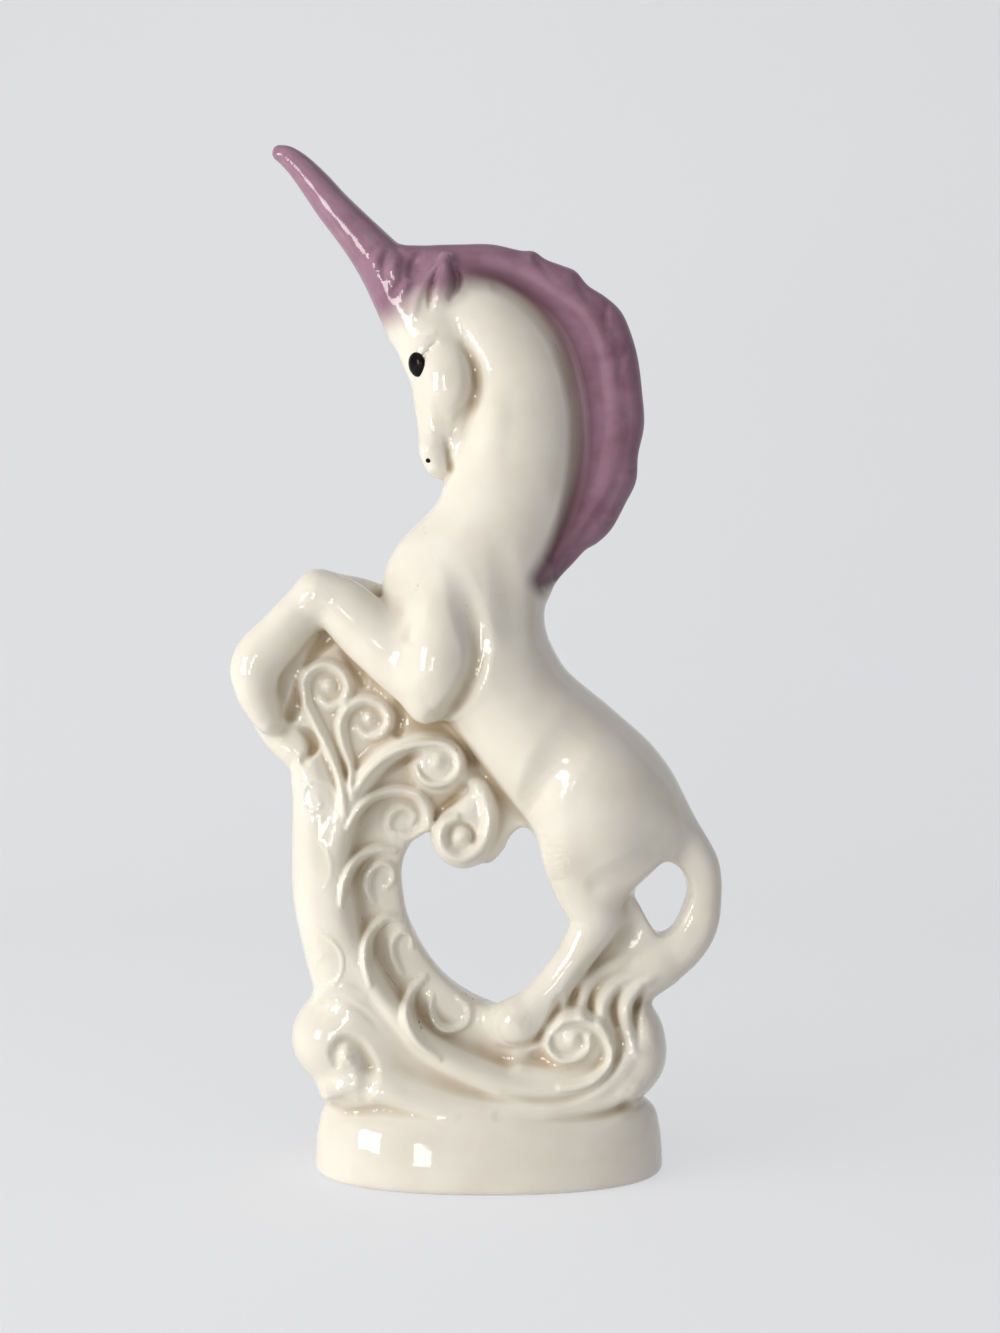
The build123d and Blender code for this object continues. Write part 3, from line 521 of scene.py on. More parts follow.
# Fern panel behind the forelegs, with its two curls
fern = {
    "web": [
        (278, 690), (300, 640), (330, 606), (372, 632), (402, 668), (432, 700), (462, 722), (476, 744),
        (446, 748), (402, 756), (372, 776), (352, 810), (338, 850), (318, 850), (304, 810), (300, 768),
        (296, 740), (280, 716),
    ],
    "half": 6.4,  # half its thickness
    "recesses": [
        [(338, 624, 7, -1.0), (328, 637, 11, -3.2), (316, 650, 9, -2.6), (306, 664, 6, -1.4)],
        [(298, 684, 7, -1.4), (296, 700, 10, -3.2), (290, 716, 9, -2.6)],
        [(344, 650, 8, -1.0), (356, 668, 10, -2.0), (362, 684, 8, -1.4)],
        [(394, 696, 6, -1.0), (400, 714, 8, -1.8), (398, 732, 8, -1.4)],
    ],
    "tall": [
        (346, 812, 6, 0.8), (342, 784, 7, 2.2), (331, 754, 8, 3.2), (316, 725, 8.5, 3.6),
        (305, 702, 8.5, 3.6), (303, 683, 8.5, 3.6), (311, 669, 8.5, 3.6), (326, 664, 8.5, 3.6),
        (341, 671, 8.5, 3.6), (348, 686, 8, 3.4), (343, 700, 7.5, 3.2), (330, 706, 7, 2.6),
        (319, 699, 6, 1.8),
    ],
    "tallKnob": [(328, 685, 8.5, 2.8), (329, 686, 8.5, 2.8)],
    "short": [
        (352, 790, 6, 0.8), (350, 766, 7, 2.2), (343, 744, 8, 3.2), (340, 724, 8.5, 3.6),
        (348, 707, 8.5, 3.6), (364, 699, 8.5, 3.6), (381, 704, 8.5, 3.4), (389, 719, 8, 3.2),
        (382, 732, 7.5, 2.8), (368, 736, 6.5, 2.2), (358, 729, 5.5, 1.4),
    ],
    "shortKnob": [(368, 717, 8, 2.6), (369, 718, 8, 2.6)],
}
slab(fern["web"], "fernPanel", half=fern["half"], rounding=2, blend=3)
for name in ("tall", "tallKnob", "short", "shortKnob"):
    emboss(fern[name], "fernPanel", seen=9)
for rows in fern["recesses"]:
    emboss(rows, seen=8)
print("volutes, leaf curls and ferns laid in")

# Body: chest, barrel and haunches
body = {
    "trunk": [
        (650, 842, 38, 13), (630, 825, 61, 21), (605.5, 799, 71.5, 26), (567.5, 762.5, 70.5, 26),
        (516.5, 709, 64, 25), (479.5, 656, 70, 25), (461, 622, 72, 23), (447, 586, 65, 17),
        (442, 562, 38, 10),
    ],
    "nearHind": [
        (598, 790, 46, 13, 13), (594, 834, 56, 13.5, 12.5), (592, 866, 46, 11, 10), (590, 895, 33, 9, 8.5),
        (594, 920, 27, 8.4, 8), (580, 952, 22.5, 8, 8), (556, 985, 21, 7.6, 8), (534, 1008, 22, 7.8, 8.5),
        (519, 1021, 26, 8.4, 9.4),
    ],
    "farHind": [
        (612, 800, 50, 13, 12), (612, 836, 54, 13, 12), (612, 866, 45, 11, 10), (612, 895, 34, 9, 8.5),
        (614, 920, 27, 8.4, 8), (602, 952, 22.5, 8, 8), (578, 985, 21, 7.6, 8), (553, 1010, 21, 7.8, 8.5),
        (536, 1024, 25, 8.4, 9),
    ],
    "betweenHinds": [
        (600, 905, 26, 9), (604, 935, 24, 8), (585, 965, 22, 7), (560, 1000, 22, 7), (535, 1025, 24, 8),
    ],
    "thighCrease": [(526, 812, 14, -1.0), (540, 788, 24, -2.2), (556, 762, 30, -2.0), (574, 736, 28, -0.6)],
    "flankHollow": [(648, 856, 16, -0.6), (622, 872, 20, -1.2), (598, 884, 16, -0.8)],
    "hoofEdge": [
        (560, 998, 7, -0.6), (556, 1014, 9, -1.8), (548, 1030, 9, -2.2), (534, 1043, 8, -1.6),
        (516, 1049, 8, -0.9), (502, 1049, 7, -0.3),
    ],
    "hockShade": [
        (640, 926, 12, -0.6), (624, 942, 17, -1.6), (602, 962, 19, -2.2), (582, 984, 18, -2.0),
        (566, 1004, 14, -0.8),
    ],
}
limb(body["trunk"], "body", blend=2)
limb(body["nearHind"], "body", blend=8)
limb(body["farHind"], "body", blend=8, sides="far")
limb(body["betweenHinds"], "body", blend=5)

# Neck and head
neck = [
    (466, 612, 62, 17), (480, 573, 71, 19), (497, 527, 65, 18.5), (509, 488, 63, 18), (516, 448, 61, 17.5),
    (517, 408, 58, 16.5), (510, 368, 53, 15.5), (490, 334, 47, 14.5), (463, 312, 38, 13),
    (438, 300, 30, 12),
]
limb(neck, "neck", blend=9)
head = {
    "skull": [
        (440, 288, 24, 10), (431, 312, 40, 12), (437, 340, 41, 13), (444, 362, 39, 13),
        (445, 382, 34, 12.5), (444, 408, 29, 11), (441, 430, 23, 9.5), (439, 448, 20, 8.5),
        (441, 462, 16, 7), (443, 468, 9, 5),
    ],
    "cheek": [(452, 386, 24, 5.5, 10.0), (451, 376, 24, 5.5, 10.2)],
    "muzzle": [(433, 450, 12, 4, 5.5), (436, 462, 9, 3.5, 4.5)],
    "neckSwell": [
        (498, 388, 16, 0.1), (495, 408, 19, 0.6), (493, 430, 20, 0.75), (490, 452, 19, 0.4),
        (488, 470, 15, 0.0),
    ],
    "jawGroove": [
        (464, 344, 9, -0.5), (472, 362, 13, -1.6), (476, 380, 15, -2.0), (473, 397, 16, -1.8),
        (466, 412, 16, -1.0), (462, 428, 14, -0.4),
    ],
    "mouth": [(446, 436, 4, -0.2), (447, 449, 5.5, -1.0), (449, 462, 5.5, -0.8), (451, 470, 4, -0.2)],
    "throat": [(470, 396, 9, 8.6), (465, 414, 10, 9.2), (461, 434, 10, 9.0), (457, 456, 8, 7.6)],
    "brow": [(422, 358, 3, -0.6), (428, 350, 4, -1.2), (436, 342, 3.5, -0.8)],
    "eyeRidge": [(414, 344, 5, 0.3), (423, 339, 6, 0.5), (434, 333, 6, 0.3)],
    "faceRidge": [(424, 380, 6, 0.1), (430, 405, 7, 0.35), (431, 430, 6, 0.3)],
}
limb(head["skull"], "head", blend=3)
limb(head["cheek"], "head", blend=5, sides="both")
limb(head["muzzle"], "head", blend=4, sides="both")
limb(head["throat"], "neck", blend=5)
for name in ("neckSwell", "jawGroove", "mouth", "brow", "eyeRidge", "faceRidge"):
    emboss(head[name], seen=12)

# Forelegs, back to back
legs = {
    "nearArm": [
        (448, 592, 24, 7.5, 15), (441, 618, 32, 10.5, 17), (440, 650, 36, 12, 18), (436, 680, 33, 12, 18),
        (428, 700, 22, 9.5, 16),
    ],
    "nearFore": [
        (432, 690, 31, 10, 14), (400, 659, 33, 9.8, 12), (367, 629, 32, 9.2, 10), (340, 604, 28, 8.6, 9),
        (321, 594, 23, 8, 8.5),
    ],
    "nearCannon": [
        (318, 594, 23, 8, 8), (286, 629, 24, 8, 8.5), (258, 661, 26, 8, 9), (256, 688, 21, 7.6, 9),
        (263, 708, 17, 7, 8.5), (269, 720, 13, 6, 8),
    ],
    "farFore": [
        (455, 615, 28, 9.5, 11), (425, 620, 29, 9.5, 10), (390, 615, 28, 9, 9), (352, 602, 28, 8.6, 8.5),
        (322, 592, 23, 8.2, 8.2),
    ],
    "farCannon": [
        (314, 592, 23, 8, 8), (278, 626, 23, 7.8, 8), (250, 658, 22, 8, 8), (250, 684, 17, 7.4, 6),
        (264, 712, 18, 7.6, 3), (281, 737, 17, 8, 1), (292, 748, 16, 8, 0),
    ],
    "farArm": [(452, 590, 26, 8, 12), (448, 615, 32, 9, 13), (446, 645, 30, 9, 12)],
    "elbowCrease": [
        (452, 562, 14, -0.2), (461, 590, 19, -0.9), (470, 618, 20, -1.7), (477, 645, 18, -2.6),
        (475, 668, 16, -3.0), (464, 692, 15, -3.0), (449, 709, 13, -2.3), (432, 720, 10, -0.8),
    ],
    "chestCrease": [(419, 596, 10, -0.3), (416, 616, 11, -0.7), (410, 636, 11, -0.6)],
    "withersFold": [
        (498, 540, 16, -0.1), (504, 570, 20, -0.6), (508, 602, 21, -0.9), (511, 628, 19, -0.7),
        (514, 652, 14, -0.2),
    ],
    "hoofShade": [(300, 728, 5, -1.0), (309, 736, 8, -3.6), (312, 748, 8, -3.8), (305, 760, 6, -1.6)],
    "shoulderSoftened": ((376, 560), (500, 716)),
    "haunchSoftened": ((560, 720), (740, 910)),
}
limb(legs["farArm"], "foreLegs", blend=7, sides="far")
limb(legs["farFore"], "foreLegs", blend=4, sides="far")
limb(legs["farCannon"], "foreLegs", blend=4, sides="far")
limb(legs["nearArm"], "foreLegs", blend=5)
limb(legs["nearFore"], "foreLegs", blend=4)
limb(legs["nearCannon"], "foreLegs", blend=4)
soften(*legs["shoulderSoftened"], deepest=34, radius=3.2)
soften(*legs["haunchSoftened"], deepest=34, radius=3.2)
emboss(body["thighCrease"], seen=26, start=10)
emboss(body["flankHollow"], seen=20, start=8)
emboss(body["hoofEdge"], seen=17)
emboss(legs["elbowCrease"], seen=24, sides="near", start=10)
emboss(legs["chestCrease"], seen=22, sides="near", start=10)
emboss(legs["withersFold"], seen=20, start=8)
emboss(legs["hoofShade"], seen=8)

# Tail and its swept tuft
tail = {
    "web": [
        (640, 846), (668, 838), (698, 856), (706, 890), (698, 925), (676, 955), (650, 975), (610, 1000),
        (560, 1020), (575, 970), (606, 925), (618, 890),
    ],
    "dock": [
        (648, 798, 24, 10), (671, 820, 21, 9), (689, 842, 18.5, 8.2), (702, 866, 17.5, 7.8),
        (705, 894, 16.5, 7.6), (699, 926, 18, 7.8), (679, 952, 20, 8.4), (648, 970, 22, 9),
    ],
    "tuft": [
        (656, 966, 22, 9), (630, 982, 25, 10), (610, 1000, 28, 11.5), (604, 1022, 28, 13),
        (612, 1040, 26, 13.5),
    ],
    "locks": [
        [
            (626, 962, 7, 0.3), (604, 972, 10, 1.6), (588, 988, 12, 2.4), (582, 1006, 10, 1.4),
            (582, 1018, 7, 0.4),
        ],
        [
            (640, 974, 7, 0.3), (618, 984, 10, 1.8), (604, 1000, 13, 3.2), (604, 1016, 12, 2.4),
            (612, 1030, 8, 0.6),
        ],
        [
            (658, 976, 7, 0.3), (640, 988, 10, 1.8), (627, 1006, 12, 3.2), (627, 1026, 11, 2.6),
            (632, 1044, 7, 0.6),
        ],
    ],
    "gaps": [
        [(622, 988, 5, -0.6), (615, 1000, 6.5, -1.6), (613, 1012, 6.5, -2.0), (616, 1024, 5, -1.0)],
        [(646, 988, 5, -0.6), (639, 1002, 6.5, -1.8), (636, 1018, 6.5, -2.0), (638, 1034, 5, -0.7)],
        [(604, 986, 4, -0.3), (595, 996, 5, -1.0), (592, 1008, 5, -0.9), (594, 1018, 4, -0.3)],
    ],
}
slab(tail["web"], "tail", half=6.5, rounding=5, blend=4)
limb(tail["dock"], "tail", blend=4)
limb(tail["tuft"], "tail", blend=4)
for rows in tail["locks"] + tail["gaps"] + [body["hockShade"]]:
    emboss(rows, seen=12)
print("body, neck, head, legs and tail laid in")

# Mane: a thick crest with a waved rim
mane = {
    "outline": [
        (398, 250), (430, 246), (462, 245), (492, 245), (520, 251), (534, 252), (546, 260), (562, 266),
        (576, 272), (588, 286), (605, 297), (621, 312), (631, 334), (638, 360), (642, 392), (644, 425),
        (638, 455), (636, 481), (625, 504), (612, 528), (598, 542), (585, 550), (570, 566), (553, 580),
        (541, 594), (522, 584), (536, 530), (556, 480), (562, 425), (552, 375), (530, 335), (500, 305),
        (455, 290), (412, 284),
    ],
    "rim": [
        (440, 258, 8, 0.2), (470, 257, 9, 0.4), (500, 259, 10, 0.6), (526, 266, 11, 0.8),
        (550, 278, 12, 0.9), (572, 293, 12, 1.0), (591, 311, 12, 1.0), (603, 333, 12, 1.0),
        (610, 360, 12, 1.0), (615, 392, 13, 1.0), (617, 425, 13, 1.0), (613, 456, 13, 1.0),
        (605, 486, 13, 1.0), (594, 512, 12, 0.9), (580, 534, 11, 0.8), (564, 554, 9, 0.6),
        (552, 570, 7, 0.3),
    ],
    "valley": [
        (496, 286, 9, -0.4), (530, 306, 12, -1.0), (556, 337, 13, -1.4), (571, 377, 13, -1.6),
        (578, 422, 13, -1.6), (576, 468, 13, -1.6), (566, 514, 11, -1.3), (551, 554, 9, -0.7),
    ],
    "strands": [
        [(618, 480, 6, -0.2), (602, 508, 8, -0.7), (584, 534, 8, -0.8), (562, 562, 6, -0.4)],
        [(535, 254, 5, -0.5), (546, 270, 6, -0.3), (562, 288, 5, -0.1)],
        [(577, 274, 5, -0.5), (584, 292, 6, -0.3), (594, 310, 5, -0.1)],
        [(608, 302, 5, -0.5), (606, 322, 6, -0.3), (608, 344, 5, -0.1)],
        [(628, 346, 5, -0.4), (620, 366, 6, -0.25), (618, 390, 5, -0.1)],
        [(636, 466, 5, -0.5), (622, 470, 6, -0.3), (606, 480, 5, -0.1)],
        [(616, 522, 5, -0.5), (602, 520, 6, -0.3)],
    ],
}
slab(mane["outline"], "mane", half=8.2, rounding=7.6, blend=6)
for rows in (mane["rim"], mane["valley"], *mane["strands"]):
    emboss(rows, seen=10)

# Horn: a smooth cone with a swollen root, forelock knobs and ears
horn = [
    (420, 318, 37, 11), (403, 293, 31.5, 10.4), (387.5, 270.5, 27, 9.6), (371, 249.5, 23, 8.6),
    (352, 227.5, 19.8, 7.6), (333, 206, 17.6, 6.8), (317, 185.8, 15.6, 5.9), (301, 167.4, 13.0, 4.9),
    (288.5, 156.6, 10.6, 3.9), (280, 152.6, 8.0, 3.0),
]
limb(horn, "horn", blend=3)
brow = {
    "locks": [
        [(398, 256, 7, 0.4), (394, 267, 10, 1.4), (394, 278, 8, 0.8)],
        [(380, 250, 5, 0.2), (375, 260, 7, 0.9), (374, 270, 5, 0.4)],
        [(410, 282, 5, 0.3), (405, 288, 7, 1.0), (402, 296, 5, 0.4)],
    ],
    "gaps": [
        [(420, 252, 6, -0.4), (414, 263, 9, -1.6), (411, 274, 7, -1.0)],
        [(388, 250, 4, -0.3), (384, 262, 4.5, -0.7), (384, 276, 4, -0.3)],
        [(402, 280, 4, -0.3), (396, 288, 4.5, -0.7), (392, 296, 4, -0.2)],
    ],
}
for rows in brow["locks"] + brow["gaps"]:
    emboss(rows, seen=9)
ear = {
    "leaf": [
        (437, 310, 6, 2, 8.8), (440, 298, 8.5, 3.2, 9.8), (443, 282, 9, 3.6, 10.3),
        (445, 268, 7.5, 3.2, 10.1), (446, 258, 4.5, 2, 9.5),
    ],
    "marks": [
        [(440, 266, 3.5, -0.3), (434, 280, 4.5, -1.5), (430, 294, 5, -1.8), (430, 307, 4, -0.6)],
        [(449, 260, 5, -0.4), (456, 272, 7.5, -1.5), (457, 284, 8, -1.8), (451, 297, 6, -0.9)],
        [
            (442, 258, 5, 0.2), (430, 270, 6, 0.7), (422, 284, 7, 0.9), (416, 300, 7, 0.8),
            (413, 316, 6, 0.3),
        ],
    ],
}
limb(ear["leaf"], "ears", blend=4, sides="both")
for rows in ear["marks"]:
    emboss(rows, seen=12)
print("mane, horn and ears laid in")

# Openings and grooves
heartWindow = [
    (406, 856), (403, 870), (404, 888), (408, 912), (416, 931), (428, 950), (443, 967), (459, 981),
    (476, 990), (490, 994), (504, 991), (521, 980), (541, 959), (560, 934), (566, 915), (554, 900),
    (542, 875), (536, 845), (531, 830), (522, 826), (513, 832), (505, 848), (490, 862), (463, 870),
    (447, 865), (436, 854), (428, 843), (420, 840), (412, 845),
]
tailWindow = [
    (664, 859), (650, 868), (634, 889), (640, 905), (652, 926), (661, 933), (674, 925), (684, 905),
    (688, 887), (680, 868),
]
slab(heartWindow, None, half=40, rounding=0.5, blend=3)
slab(tailWindow, None, half=40, rounding=0.5, blend=3)
cavity = ovalPrism(plinthWindow, plinth["wall"], plinth["height"] - plinth["roof"], plinth["roofEdge"])
carve(plinthWindow, cavity, plinth["blend"])
np.maximum(clay, -zs[None, :, None], out=clay)  # nothing lies below the table
print("openings and grooves cut")


# From the clay to meshes
def sample(field, points):
    # the field at any points, mixed from the eight cells round each: a cell counts by how near it
    # is along each axis. A point past the block takes the value just inside its edge
    spots = np.stack([(points[:, i] - axis[0]) / cell for i, axis in enumerate((xs, zs, ys))], 1)
    spots = np.clip(spots, 0, np.array(field.shape) - 1.001)
    base = spots.astype(int)
    part = spots - base
    value = np.zeros(len(points))
    for corner in np.ndindex(2, 2, 2):
        weight = np.prod(np.where(np.array(corner), part, 1 - part), 1)
        value += weight * field[base[:, 0] + corner[0], base[:, 1] + corner[1], base[:, 2] + corner[2]]
    return value


def slopeAt(points, step):
    # the direction in which the distance grows, from its values a step away each way
    slopes = []
    for axis in range(3):
        shift = np.zeros(3)
        shift[axis] = step
        slopes.append((sample(clay, points + shift) - sample(clay, points - shift)) / (2 * step))
    return np.stack(slopes, 1)


def surfaceNets():
    # one vertex in each cell that the surface, or the border of two pieces, passes through, and
    # one four-sided face for each edge of the block whose ends differ
    label = np.where(clay < 0, owner, 0).astype(np.int8)
    size = np.array(label.shape)
    strides = np.array([size[1] * size[2], size[2], 1])
    weights = np.zeros(label.size, np.float32)
    sums = [np.zeros(label.size, np.float32) for _ in range(3)]
    onSkin = np.zeros(label.size, bool)
    edges = []
    for axis in range(3):
        low = [slice(1, -1)] * 3
        high = [slice(1, -1)] * 3
        low[axis], high[axis] = slice(0, -1), slice(1, None)
        a, b = label[tuple(low)], label[tuple(high)]
        spots = np.argwhere(a != b)
        spots += np.array([1 if i != axis else 0 for i in range(3)])
        la = label[spots[:, 0], spots[:, 1], spots[:, 2]]
        step = np.eye(3, dtype=int)[axis]
        ends = spots + step
        lb = label[ends[:, 0], ends[:, 1], ends[:, 2]]
        fa = clay[spots[:, 0], spots[:, 1], spots[:, 2]]
        fb = clay[ends[:, 0], ends[:, 1], ends[:, 2]]
        skin = (la == 0) | (lb == 0)
        t = np.where(skin, np.clip(fa / np.where(fa == fb, 1, fa - fb), 0, 1), 0.5)
        place = spots + t[:, None] * step
        first, second = [i for i in range(3) if i != axis]
        around = []
        for u, v in ((-1, -1), (0, -1), (0, 0), (-1, 0)):
            corner = spots.copy()
            corner[:, first] += u
            corner[:, second] += v
            around.append(corner @ strides)
        edges.append((np.stack(around, 1), la, lb, skin, place, axis))
    for around, la, lb, skin, place, axis in edges:
        onSkin[around[skin].ravel()] = True
    for around, la, lb, skin, place, axis in edges:
        for k in range(4):
            cellsHere = around[:, k]
            use = skin | ~onSkin[cellsHere]
            weights += np.bincount(cellsHere[use], minlength=label.size).astype(np.float32)
            for i in range(3):
                total = np.bincount(cellsHere[use], place[use, i], minlength=label.size)
                sums[i] += total.astype(np.float32)
    used = np.flatnonzero(weights)
    number = np.full(label.size, -1, np.int64)
    number[used] = np.arange(len(used))
    points = np.stack([sums[i][used] / weights[used] for i in range(3)], 1).astype(float)
    points = points * cell + np.array([xs[0], zs[0], ys[0]])
    quads = [(number[around], la, lb, skin, axis) for around, la, lb, skin, place, axis in edges]
    return points, onSkin[used], quads


# Each point of the skin then moves down the slope to where the distance is nothing
settling = {
    "passes": 3,
    "stepShare": 0.5,  # of a cell, as is the next
    "normalStepShare": 0.75,
    "leastSlope": 0.1,
    "creaseAgreement": 0.2,  # below it a face's corners take its own normal and not the skin's
}
points, onSkin, quads = surfaceNets()
for _ in range(settling["passes"]):
    step = cell * settling["stepShare"]
    value = sample(clay, points[onSkin])
    slope = slopeAt(points[onSkin], step)
    move = slope * (value / np.maximum((slope * slope).sum(1), settling["leastSlope"]))[:, None]
    points[onSkin] -= np.clip(move, -step, step)
outward = slopeAt(points, cell * settling["normalStepShare"])
outward /= np.maximum(np.linalg.norm(outward, axis=1, keepdims=True), 1e-6)
print("surface found,", len(points), "points")


def softStep(value, low, high):
    # rises from 0 to 1 between low and high, with level ends
    t = np.clip((value - low) / (high - low), 0, 1)
    return t * t * (3 - 2 * t)


def hollowness(reach):
    # the share of clay in a cube round each cell, from running totals: a half on flat skin, more
    # in a hollow and less on a ridge
    steps = int(round(reach / cell))
    share = np.clip(0.5 - clay / cell, 0, 1).astype(np.float32)
    for axis in range(3):
        padding = [(0, 0)] * 3
        padding[axis] = (steps + 1, steps)
        total = np.pad(share, padding, mode="edge").cumsum(axis, dtype=np.float64)
        ahead, behind = [slice(None)] * 3, [slice(None)] * 3
        ahead[axis], behind[axis] = slice(2 * steps + 1, None), slice(0, -2 * steps - 1)
        share = ((total[tuple(ahead)] - total[tuple(behind)]) / (2 * steps + 1)).astype(np.float32)
    return share


# Mauve glaze: sprayed on the horn, forelock, ears and mane, and fading down the forehead
sprayed = {
    "edge": [
        (250, 120), (300, 215), (352, 290), (372, 318), (390, 322), (405, 312), (418, 300), (430, 297),
        (444, 300), (456, 296), (464, 287), (480, 286), (505, 293), (533, 312), (556, 342), (570, 382),
        (577, 424), (575, 470), (563, 516), (546, 556), (533, 580), (541, 592), (556, 584), (720, 540),
        (720, 300), (600, 200), (420, 190), (290, 110),
    ],
    "edgeSteps": 4,
    "lowest": 190.0,  # millimetres above the table, below which nothing is sprayed
    "fade": (-2.0, 4.4),  # millimetres, from inside the edge to outside it
    "forehead": {"spot": (395, 330), "near": (6, 22), "fade": (-3.5, 4.0)},  # added to the fade
    "poll": {"spot": (445, 292), "near": (6, 26), "fade": (-2.0, 4.0)},
    # the band just inside the edge along the root of the mane, in millimetres, that is painted darker as
    # shade, and how far behind the poll that painted shade begins
    "root": (-9.0, -1.0),
    "rootBehindPoll": 14.0,
}


def mauveShare(spots):
    # one inside the sprayed outline and nothing outside, with a soft edge that is softer near the
    # forehead and the poll, and how near the spot lies to the root of the mane, where the mauve is given
    # painted shade
    x, z = spots[:, 0], spots[:, 1]
    signed = outlineDistance(smoothOutline(sprayed["edge"], sprayed["edgeSteps"]), x, z)
    inner, outer = sprayed["fade"]
    for place in (sprayed["forehead"], sprayed["poll"]):
        placeX, placeZ = toMm(*place["spot"])
        near = 1 - softStep(np.hypot(x - placeX, z - placeZ), *place["near"])
        inner = inner + place["fade"][0] * near
        outer = outer + place["fade"][1] * near
    share = 1 - softStep(signed, inner, outer)
    pollX = toMm(*sprayed["poll"]["spot"])[0]
    root = softStep(signed, *sprayed["root"]) * softStep(x, pollX, pollX + sprayed["rootBehindPoll"])
    return share, root


# Pooled glaze and painted shade: the narrow reach stands for glaze pooled in creases, and the wide reach
# darkens broad hollows as painted shade
poolAndShadeReaches = {"narrow": 3.2, "wide": 8.0, "narrowShare": 0.45, "wideShare": 0.55}  # reaches in millimetres
paint = np.zeros(len(points))
rootShade = np.zeros(len(points))
high = points[:, 1] > sprayed["lowest"]
paint[high], rootShade[high] = mauveShare(points[high])
pooledGlazeAndShade = poolAndShadeReaches["narrowShare"] * sample(hollowness(poolAndShadeReaches["narrow"]), points)
pooledGlazeAndShade = pooledGlazeAndShade + poolAndShadeReaches["wideShare"] * sample(hollowness(poolAndShadeReaches["wide"]), points)


def linear(code):
    # an sRGB hex colour as linear light
    values = [int(code[i : i + 2], 16) / 255 for i in (1, 3, 5)]
    return [v / 12.92 if v <= 0.04045 else ((v + 0.055) / 1.055) ** 2.4 for v in values] + [1.0]


def node(tree, kind, settings={}, links={}):
    # adds a node. Settings and links go by a socket's name or number, and a setting that is no
    # socket's name is one of the node's own
    made = tree.nodes.new(kind)
    for key, value in settings.items():
        if isinstance(key, int) or key in made.inputs:
            made.inputs[key].default_value = value
        else:
            setattr(made, key, value)
    for key, source in links.items():
        tree.links.new(source, made.inputs[key])
    return made


def newMaterial(name):
    made = bpy.data.materials.new(name)
    made.use_nodes = True
    made.node_tree.nodes.clear()
    return made


glaze = {
    "cream": "#F0EADE",
    # colours of pooled glaze with painted shade in hollows; the mauve one also paints the shade along the
    # root of the mane
    "creamPooledAndShaded": "#BCA98B",
    "mauve": "#845B6D",
    "mauvePooledAndShaded": "#633F4B",
    "mauveThin": "#A27C8F",
    "noises": {"cloud": (18.182, 3), "speck": (2.381, 2), "dapple": (6.667, 3), "ripple": (11.111, 1)},
    "strokeSize": (14.286, 14.286, 6.667),  # millimetres, as is the first number of each noise
    "strokeTurn": 0.5,
    "strokeDetail": 3,
    "shares": {  # pattern, its value for none and for all, and the share that it gives then
        # pooled glaze together with painted shade, from how hollow the skin is
        "pooledAndShaded": ("pooledGlazeAndShade", 0.52, 0.72, 1.0),
        "thin": ("pooledGlazeAndShade", 0.46, 0.30, 0.5),
        "clouded": ("cloud", 0.35, 0.70, 0.16),
        "mottled": ("cloud", 0.42, 0.68, 0.6),
        "brushed": ("stroke", 0.42, 0.68, 0.4),
        "dappled": ("dapple", 0.42, 0.68, 0.5),
    },
    "roughness": (0.48, 0.60),
    "rippleStrength": 0.06,
    "rippleHeight": 0.6,  # millimetres
}
colours = {"data_type": "RGBA"}  # a Mix node's share is socket 0, and its two colours are 6 and 7


